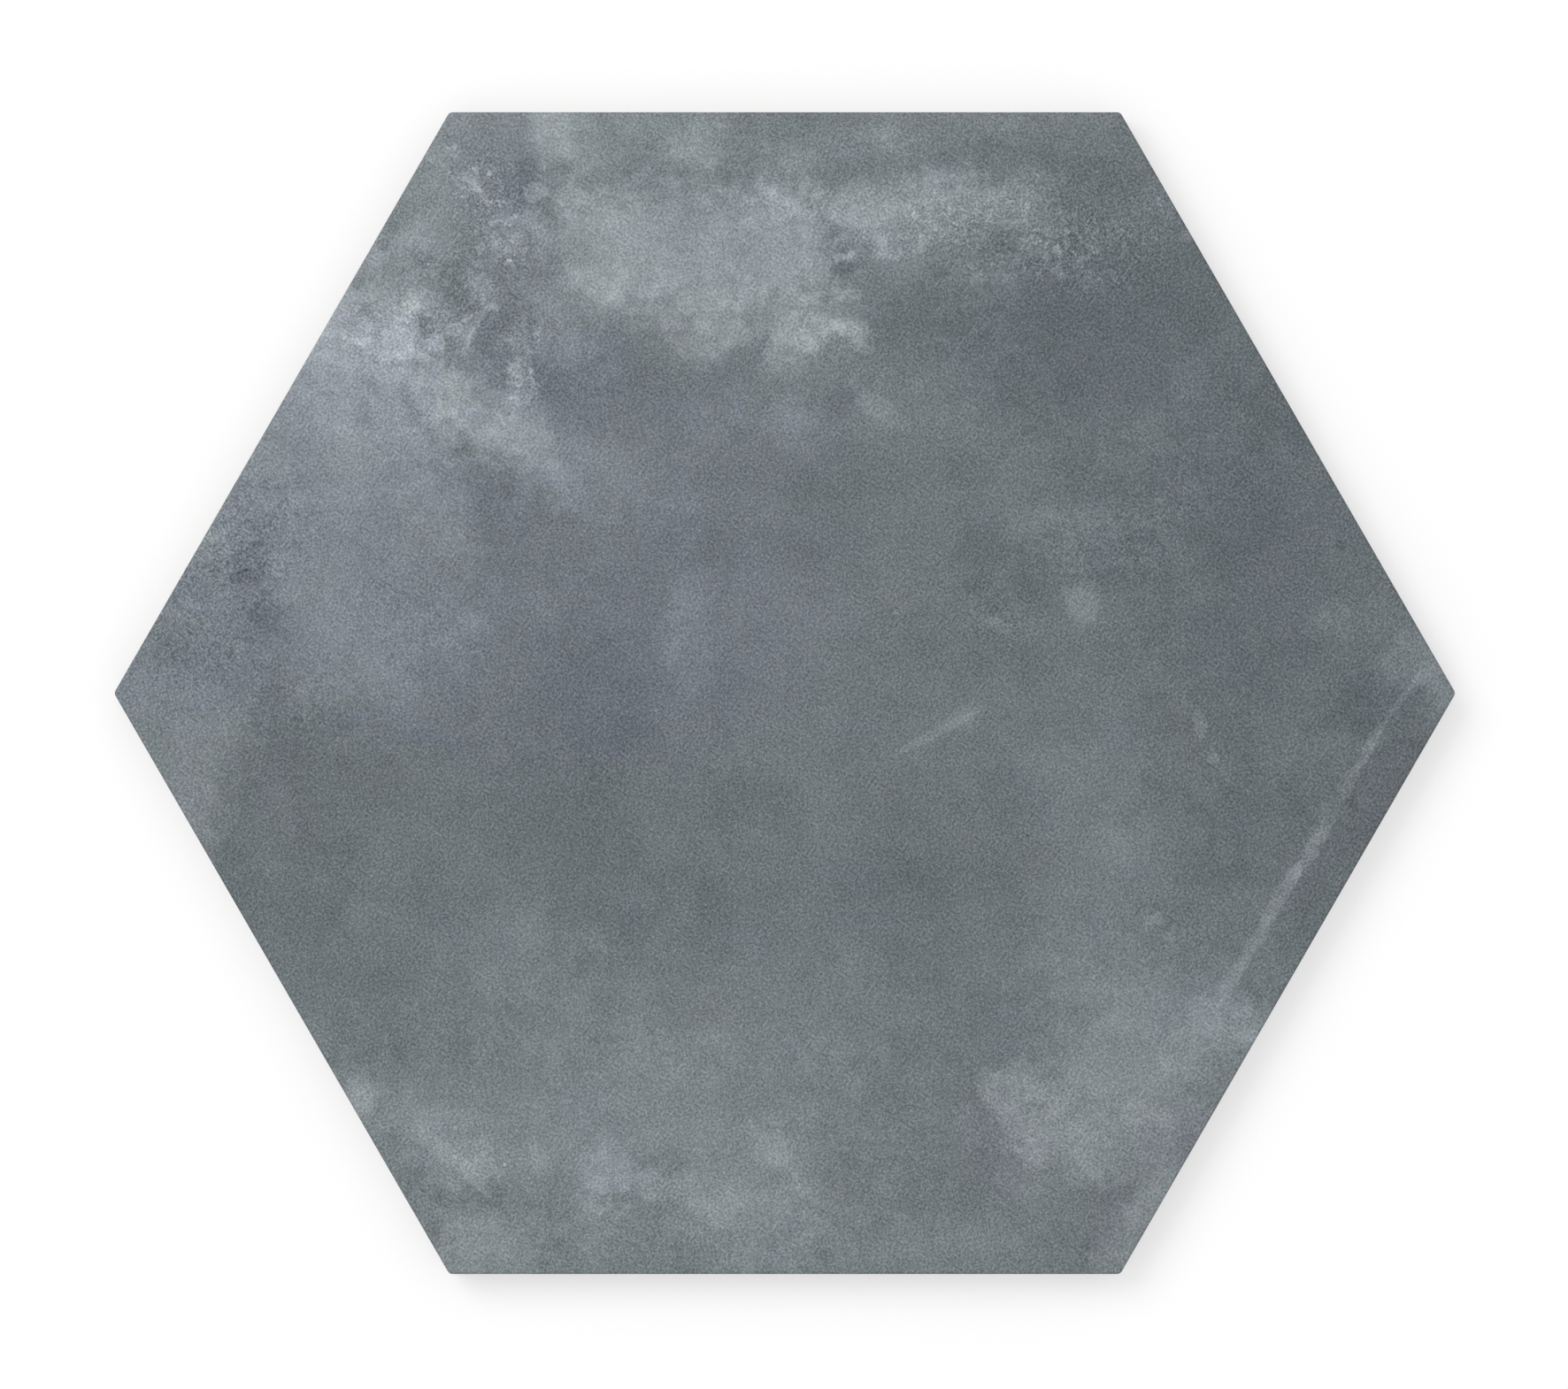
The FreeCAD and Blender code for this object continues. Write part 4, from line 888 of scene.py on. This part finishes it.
def mark_group(kind, torn, tinted, sided, edged):
    """One mark: an ellipse with a soft or torn edge that shifts the print's levels."""
    inputs = [("Place", "NodeSocketVector", None), ("Spread", "NodeSocketVector", None),
              ("Shift", "NodeSocketVector", None), ("Outside", "NodeSocketFloat", 1.0),
              ("Inside", "NodeSocketFloat", 0.0), ("Light", "NodeSocketFloat", 0.0),
              ("Lighten", "NodeSocketFloat", 0.0)]
    outputs = [("Light", "NodeSocketFloat")]
    if torn:
        inputs += [("Tear", "NodeSocketFloat", 0.0), ("Ragged", "NodeSocketFloat", 0.0)]
    if sided:
        inputs.append(("Near side", "NodeSocketVector", None))
    if tinted:
        inputs += [("Blue", "NodeSocketFloat", 0.0), ("Tint", "NodeSocketFloat", 0.0)]
        outputs.append(("Blue", "NodeSocketFloat"))
    if edged:
        inputs.append(("Edge", "NodeSocketFloat", 0.0))
        outputs.append(("Edge", "NodeSocketFloat"))
    tree, given = new_tree("printed_mark", kind, inputs, outputs)
    local = vectors(tree, "MULTIPLY_ADD", given["Place"], given["Spread"], given["Shift"])
    reach = vectors(tree, "LENGTH", local, out="Value")
    if torn:
        reach = maths(tree, "MULTIPLY_ADD", given["Tear"], given["Ragged"], reach)
    cover = add(tree, "ShaderNodeMapRange", reach, given["Outside"], given["Inside"],
                interpolation_type="SMOOTHSTEP", clamp=False)
    if sided:
        near = vectors(tree, "DOT_PRODUCT", local, given["Near side"], out="Value")
        cover = maths(tree, "MULTIPLY", cover, maths(tree, "ADD", near, 0.5))
    results = {"Light": maths(tree, "MULTIPLY_ADD", cover, given["Lighten"], given["Light"])}
    if tinted:
        results["Blue"] = maths(tree, "MULTIPLY_ADD", cover, given["Tint"], given["Blue"])
    if edged:
        band = maths(tree, "MULTIPLY", cover, maths(tree, "SUBTRACT", 1.0, cover))
        band = maths(tree, "MULTIPLY", band, maths(tree, "ABSOLUTE", given["Lighten"]))
        results["Edge"] = maths(tree, "MULTIPLY_ADD", band, 4.0, given["Edge"])
    finish_tree(tree, **results)
    return tree


class Print:
    """The print's levels of light and blue, to which the marks are added one after another.

    Where edge is given, it gathers how much light lies on the marks' edges.
    """

    def __init__(self, tree, light, blue, edge=None):
        self.tree = tree
        self.levels = {"Light": light, "Blue": blue}
        if edge is not None:
            self.levels["Edge"] = edge
        self.groups = {}

    def group(self, *kind):
        """The mark group that is torn, tinted, sided or edged as asked."""
        if kind not in self.groups:
            self.groups[kind] = mark_group(self.tree.bl_idname, *kind)
        return self.groups[kind]

    def lay(self, marks, place, tear=None, sided=False):
        """Lays marks on a place, which is turned once for each turn that the marks have."""
        tree = self.tree
        turned = {0: place}
        for x, y, length, width, turn, edge, *rest in marks:
            ragged = rest.pop(0) if tear else 0
            lighten, tint = (*rest, 0)[:2]
            quarter = turn % 90
            if quarter not in turned:
                turned[quarter] = add(tree, "ShaderNodeVectorRotate", rotation_type="Z_AXIS",
                                      named={"Vector": place, "Angle": math.radians(-quarter)})
            quarters = int(turn % 360 // 90)
            size = Vector((width, length)) if quarters % 2 else Vector((length, width))
            centre = Vector((x, y))
            centre.rotate(Matrix.Rotation(math.radians(-quarter), 2))
            way = ((0.5, 0), (0, 0.5), (-0.5, 0), (0, -0.5))[quarters]
            given = {"Place": turned[quarter], "Tear": tear,
                     "Spread": (1 / size.x, 1 / size.y, 0),
                     "Shift": (-centre.x / size.x, -centre.y / size.y, 0),
                     "Outside": 1 + edge / 2, "Inside": 1 - edge / 2, "Ragged": edge * ragged,
                     "Lighten": lighten, "Tint": tint, "Near side": (*way, 0), **self.levels}
            node = tree.nodes.new(tree.bl_idname.replace("Tree", "Group"))
            node.node_tree = self.group(bool(tear and ragged), bool(tint), sided,
                                        "Edge" in self.levels)
            for name, value in given.items():
                if name in node.inputs:
                    feed(tree, node.inputs[name], value)
            for name in self.levels:
                if name in node.outputs:
                    self.levels[name] = node.outputs[name]


def whole_marks(washes, *edge):
    """Thin washes, listed by their turn, written out as whole marks with that edge."""
    return [(*mark[:4], turn, *edge, mark[4]) for turn, marks in washes.items() for mark in marks]


def soft_print(tree, position):
    """The print's soft marks: how light, how blue, how near to an edge, and how flecked."""
    place = in_millimetres(tree, position)
    drifted = shaken(tree, place, 16, 3, 4)
    tear = centred(tree, noise(tree, place, 6, 3, 0.6), 5)
    printed = Print(tree, 0.0, 0.0, 0.0)
    printed.lay(ZONES, drifted, tear)
    printed.lay(CLOUDS, drifted, tear)
    near = shaken(tree, place, 5, 2, 1.2)
    printed.lay(SIDED, near, tear, sided=True)
    printed.lay(whole_marks(WASHES, 0.9, 0.3), near, tear)
    flecked = Print(tree, 0.0, 0.0)
    flecked.lay(whole_marks(FLECKS, 0.9), near)
    return add(tree, "ShaderNodeCombineXYZ", *printed.levels.values()), flecked.levels["Light"]


def noise(tree, place, size, detail, roughness=0.5, out=0, stretch=None, dimensions="2D"):
    """Noise with features of about that many millimetres."""
    if stretch:
        place = add(tree, "ShaderNodeMapping", place, (0, 0, 0), (0, 0, math.radians(stretch[0])),
                    (1, stretch[1], 1), vector_type="TEXTURE")
    return add(tree, "ShaderNodeTexNoise", noise_dimensions=dimensions, out=out, named={
        "Vector": place, "Scale": 1 / size, "Detail": detail, "Roughness": roughness})


def centred(tree, value, gain):
    """Noise made to swing round nought."""
    return maths(tree, "MULTIPLY_ADD", value, gain, -gain / 2)


def shaken(tree, place, size, detail, reach):
    """The place moved about by noise, by up to about that many millimetres."""
    shift = noise(tree, place, size, detail, out="Color")
    shift = vectors(tree, "SUBTRACT", shift, (0.5, 0.5, 0.5))
    return vectors(tree, "MULTIPLY_ADD", shift, (reach * 2, reach * 2, 0), place)


def in_millimetres(tree, place, depth=1):
    """A place in millimetres; a depth of nought drops its height."""
    return vectors(tree, "MULTIPLY", place, (1 / MM, 1 / MM, depth / MM))


def to_linear(tree, colour):
    """Turns a colour written in screen values into light values."""
    scaled = vectors(tree, "MULTIPLY_ADD", colour, (1 / 1.055,) * 3, (0.055 / 1.055,) * 3)
    return add(tree, "ShaderNodeGamma", scaled, 2.4)


def mixed(tree, share, first, second):
    """A blend of two colours."""
    blend = add(tree, "ShaderNodeMix", data_type="RGBA", out=MIX_RESULT, named={"Factor": share})
    feed(tree, blend.node.inputs[MIX_FIRST], first)
    feed(tree, blend.node.inputs[MIX_SECOND], second)
    return blend


def new_material(name):
    """An empty node material and its shader."""
    material = bpy.data.materials.new(name)
    material.use_nodes = True
    tree = material.node_tree
    return material, tree, tree.nodes["Principled BSDF"]


def glazed_face(finish):
    """The printed matt glaze: cloudy slate and moss greys, chalky bloom, drags and grain."""
    material, tree, shader = new_material("glazed_face")
    place = in_millimetres(tree, add(tree, "ShaderNodeTexCoord", out="Object"), depth=0)
    torn_place = shaken(tree, place, 2.6, 5, 1.4)
    hatch_tear = centred(tree, noise(tree, place, 0.8, 3, 0.6, stretch=(-50, 0.14)), 6)
    drag_place = shaken(tree, place, 3, 2, 0.2)

    # the soft marks, kept on the mesh: how light, how blue and how near to a mark's edge
    soft = add(tree, "ShaderNodeAttribute", attribute_name=PRINT, out="Vector")
    soft = separated(tree, soft)
    # loose mottling all over, and fraying by the marks' edges
    loose = centred(tree, noise(tree, torn_place, 9, 5, 0.6), 4)
    light = maths(tree, "MULTIPLY_ADD", loose, finish.clouding, soft["X"])
    frayed = centred(tree, noise(tree, torn_place, 1.6, 4, 0.65), 1.6)
    edged = maths(tree, "MINIMUM", soft["Z"], 14.0)
    light = maths(tree, "MULTIPLY_ADD", frayed, edged, light)
    dappled = smooth(tree, noise(tree, torn_place, 3.2, 3, 0.6), 0.42, 0.58, -1.2, 1.2)
    strength = maths(tree, "MULTIPLY_ADD", edged, 0.05, 1.0)
    light = maths(tree, "MULTIPLY_ADD", dappled, strength, light)
    # flecks, where the print is flecked
    fleck = smooth(tree, noise(tree, torn_place, 1.5, 3, 0.6), 0.52, 0.63)
    flecked = add(tree, "ShaderNodeAttribute", attribute_name=FLECKED, out="Fac")
    light = maths(tree, "MULTIPLY_ADD", fleck, flecked, light)
    # the finer marks
    blue = centred(tree, noise(tree, place, 18, 4, 0.6, out="Color"), 2)
    printed = Print(tree, light, maths(tree, "ADD", blue, soft["Y"]))
    printed.lay(PATCHES, torn_place)
    printed.lay(CRISP, torn_place, sided=True)
    printed.lay(HATCHES, drag_place, hatch_tear)
    printed.lay(STROKES, drag_place)
    light, blue = printed.levels.values()

    # the grain lies askew and is sharper where the print is flecked
    askew = add(tree, "ShaderNodeVectorRotate", rotation_type="Z_AXIS",
                named={"Vector": drag_place, "Angle": math.radians(34)})
    fine = centred(tree, noise(tree, askew, 0.5, 1, 0.6), 4)
    coarse = centred(tree, noise(tree, askew, 1.0, 3, 0.6), 4)
    grain = maths(tree, "MULTIPLY_ADD", coarse, 0.17, fine)
    sharper = maths(tree, "MULTIPLY_ADD", maths(tree, "ABSOLUTE", flecked), 0.28, finish.grain)
    light = maths(tree, "MULTIPLY_ADD", grain, sharper, light)

    # the arris is a little darker and browner: painted shade of the rounded edge, and partly the
    # glaze thinning there to the body's colour
    edge = smooth(tree, hexagon_reach(tree, place), 124.4, 124.9)
    light = maths(tree, "MULTIPLY_ADD", edge, -5.0, light)
    blue = maths(tree, "MULTIPLY_ADD", edge, -1.2, blue)

    tone = (*finish.moss_grey, 1)
    for share, other in ((1.0, finish.slate_blue), (-1.0, finish.clay_grey)):
        cover = maths(tree, "MULTIPLY", blue, share, clamp=True)
        tone = mixed(tree, cover, tone, (*other, 1))
    level = maths(tree, "MULTIPLY", light, 1 / STEPS)
    colour = to_linear(tree, vectors(tree, "ADD", tone, level))
    feed(tree, shader.inputs["Base Color"], colour)

    rough = maths(tree, "MULTIPLY_ADD", fine, 0.05, finish.face_roughness)
    feed(tree, shader.inputs["Roughness"], rough)
    shader.inputs["Specular IOR Level"].default_value = 0.25
    pits = maths(tree, "MULTIPLY_ADD", coarse, 0.75, fine)
    bump = add(tree, "ShaderNodeBump", named={
        "Height": pits, "Strength": 0.25, "Distance": 0.00005})
    feed(tree, shader.inputs["Normal"], bump)
    return material


def body_speckle(tree, place):
    """Fine dark and pale grit of a coloured body, round nought."""
    grit = centred(tree, noise(tree, place, 0.45, 2, 0.7, dimensions="3D"), 5)
    patchy = centred(tree, noise(tree, place, 6, 4, 0.6, dimensions="3D"), 3)
    return grit, patchy


def bare_body(finish, name, washed):
    """The unglazed body of the sides, and of the back with its pale kiln wash."""
    material, tree, shader = new_material(name)
    place = in_millimetres(tree, add(tree, "ShaderNodeTexCoord", out="Object"))
    grit, patchy = body_speckle(tree, place)
    height = separated(tree, place)["Z"]
    level = maths(tree, "ADD", maths(tree, "MULTIPLY", grit, 9.0),
                  maths(tree, "MULTIPLY", patchy, 10.0))
    if washed:
        ribs = smooth(tree, height, 0.35, 0.05, 0.22, 1.0)
        smear = add(tree, "ShaderNodeMapRange", maths(tree, "MULTIPLY_ADD", grit, 0.35, patchy),
                    -0.5, 0.6, 0.1, 0.85)
        cover = maths(tree, "MULTIPLY", ribs, smear)
        other = finish.kiln_wash
    else:
        drawn = vectors(tree, "MULTIPLY", place, (1.1, 1.1, 0.09))
        drawn = centred(tree, noise(tree, drawn, 1, 3, 0.65, dimensions="3D"), 4)
        level = maths(tree, "MULTIPLY_ADD", drawn, 9.0, level)
        lap = maths(tree, "MULTIPLY_ADD", patchy, 0.12, height)
        cover = smooth(tree, lap, 7.9, 8.2)
        other = finish.clay_grey
    tone = mixed(tree, cover, (*finish.body_grey, 1), (*other, 1))
    colour = vectors(tree, "ADD", tone, maths(tree, "MULTIPLY", level, 1 / STEPS))
    feed(tree, shader.inputs["Base Color"], to_linear(tree, colour))
    rough = maths(tree, "MULTIPLY_ADD", grit, 0.04, finish.body_roughness)
    feed(tree, shader.inputs["Roughness"], rough)
    shader.inputs["Specular IOR Level"].default_value = 0.2
    bump = add(tree, "ShaderNodeBump", named={
        "Height": maths(tree, "ADD", grit, patchy), "Strength": 0.35, "Distance": 0.00008})
    feed(tree, shader.inputs["Normal"], bump)
    return material


class TILE_OT_tile(bpy.types.Operator):
    """Presses the blank, keys its back, glazes and prints its face, and fires it"""

    bl_idname = "tile.press_and_print"
    bl_label = "Press and print the tile"
    bl_options = {"REGISTER", "UNDO"}

    def execute(self, context):
        sizes, finish = context.scene.tile_sizes, context.scene.tile_finish
        finishes = [glazed_face(finish), bare_body(finish, "fired_side", False),
                    bare_body(finish, "keyed_back", True)]
        shape = tile_mesh(sizes, finishes)
        for material in finishes:
            shape.materials.append(material)
        draft = bpy.data.objects.new("fired_tile", shape)
        context.scene.collection.objects.link(draft)
        even = draft.modifiers.new("even_shading", "WEIGHTED_NORMAL")
        even.keep_sharp = True
        finished = bpy.data.meshes.new_from_object(
            draft.evaluated_get(context.evaluated_depsgraph_get()))
        bpy.data.objects.remove(draft)
        tile = bpy.data.objects.new("fired_tile", finished)
        context.scene.collection.objects.link(tile)
        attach(tile, "root")
        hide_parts(NODE)
        return {"FINISHED"}


def white_floor():
    """A pale matt floor that keeps the tile's soft shadow and looks white to the camera."""
    material, tree, shader = new_material("white_floor")
    tree.nodes.remove(shader)
    end = tree.nodes["Material Output"]
    matt = add(tree, "ShaderNodeBsdfDiffuse", (0.8, 0.8, 0.8, 1))
    lit = add(tree, "ShaderNodeBsdfDiffuse", (0.62, 0.62, 0.62, 1))
    glow = add(tree, "ShaderNodeEmission", (1, 1, 1, 1), 0.45)
    seen = add(tree, "ShaderNodeAddShader", lit, glow)
    path = tree.nodes.new("ShaderNodeLightPath").outputs
    ray = maths(tree, "MAXIMUM", path["Is Camera Ray"], path["Is Glossy Ray"])
    ray = maths(tree, "MAXIMUM", ray, path["Is Transmission Ray"])
    above = add(tree, "ShaderNodeMixShader", ray, matt, seen)
    clear = add(tree, "ShaderNodeBsdfTransparent")
    under = add(tree, "ShaderNodeNewGeometry", out="Backfacing")
    feed(tree, end.inputs["Surface"], add(tree, "ShaderNodeMixShader", under, above, clear))
    return material


class TILE_OT_stage(bpy.types.Operator):
    """Lays the pale floor and sets the soft light and the camera above the tile"""

    bl_idname = "tile.set_stage"
    bl_label = "Set the stage"
    bl_options = {"REGISTER", "UNDO"}

    def execute(self, context):
        scene, stage = context.scene, context.scene.tile_stage
        scene.view_settings.view_transform = "Standard"

        # The floor is open under the tile, so that its back can be lit and seen from below.
        shape = bmesh.new()
        edges = []
        opening = hexagon_loop(scene.tile_sizes.across_flats / 2 - OPENING_INSET, 0, 0, 1, 0, 0)
        square = [(x * FLOOR_REACH, y * FLOOR_REACH, 0)
                  for x, y in ((-1, -1), (1, -1), (1, 1), (-1, 1))]
        for border in (opening, square):
            corners = [shape.verts.new(place) for place in border]
            edges += [shape.edges.new((corners[i - 1], corners[i])) for i in range(len(corners))]
        fill_between(shape, edges, (0, 0, 1), 0)
        floor_mesh = bpy.data.meshes.new("floor")
        shape.to_mesh(floor_mesh)
        shape.free()
        floor_mesh.materials.append(white_floor())
        floor = bpy.data.objects.new("floor", floor_mesh)
        scene.collection.objects.link(floor)

        world = scene.world or bpy.data.worlds.new("studio")
        scene.world = world
        world.use_nodes = True
        tree = world.node_tree
        sky = tree.nodes["Background"]
        sky.inputs["Color"].default_value = (1, 1, 1, 1)
        path = tree.nodes.new("ShaderNodeLightPath").outputs
        seen = maths(tree, "MAXIMUM", path["Is Camera Ray"], path["Is Transmission Ray"])
        feed(tree, sky.inputs["Strength"],
             maths(tree, "MULTIPLY_ADD", seen, 1 - stage.sky, stage.sky))

        lamp = bpy.data.lights.new("soft_lamp", "AREA")
        lamp.shape = "DISK"
        lamp.size = LAMP_WIDTH
        lamp.energy = stage.lamp_power
        holder = bpy.data.objects.new("soft_lamp", lamp)
        holder.location = LAMP_PLACE
        holder.rotation_euler = (-holder.location).to_track_quat("-Z", "Y").to_euler()
        scene.collection.objects.link(holder)

        lens = bpy.data.cameras.new("camera")
        lens.sensor_fit = "HORIZONTAL"
        lens.sensor_width = 36.0
        lens.lens = stage.lens
        lens.clip_start = 0.01
        camera = bpy.data.objects.new("camera", lens)
        camera.location = (*LENS_SHIFT, HIGH.z + stage.camera_height)
        scene.collection.objects.link(camera)
        scene.camera = camera
        return {"FINISHED"}


class TILE_PT_panel(bpy.types.Panel):
    """The tile's sizes, finish and stage."""

    bl_idname = "TILE_PT_panel"
    bl_label = "Hexagon floor tile"
    bl_space_type = "VIEW_3D"
    bl_region_type = "UI"
    bl_category = "Tile"

    def draw(self, context):
        for operator, name in ((TILE_OT_tile, "tile_sizes"), (None, "tile_finish"),
                               (TILE_OT_stage, "tile_stage")):
            box = self.layout.box()
            if operator:
                box.operator(operator.bl_idname)
            group = getattr(context.scene, name)
            for key in group.bl_rna.properties.keys():
                if key not in ("rna_type", "name"):
                    box.prop(group, key)


CLASSES = (TileSizes, TileFinish, StageSettings, TILE_OT_tile, TILE_OT_stage, TILE_PT_panel)


def register():
    for cls in CLASSES:
        bpy.utils.register_class(cls)
    bpy.types.Scene.tile_sizes = PointerProperty(type=TileSizes)
    bpy.types.Scene.tile_finish = PointerProperty(type=TileFinish)
    bpy.types.Scene.tile_stage = PointerProperty(type=StageSettings)


def unregister():
    del bpy.types.Scene.tile_stage
    del bpy.types.Scene.tile_finish
    del bpy.types.Scene.tile_sizes
    for cls in reversed(CLASSES):
        bpy.utils.unregister_class(cls)


def main():
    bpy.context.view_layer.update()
    register()
    bpy.ops.tile.press_and_print()
    bpy.ops.tile.set_stage()


if __name__ == "__main__":
    main()
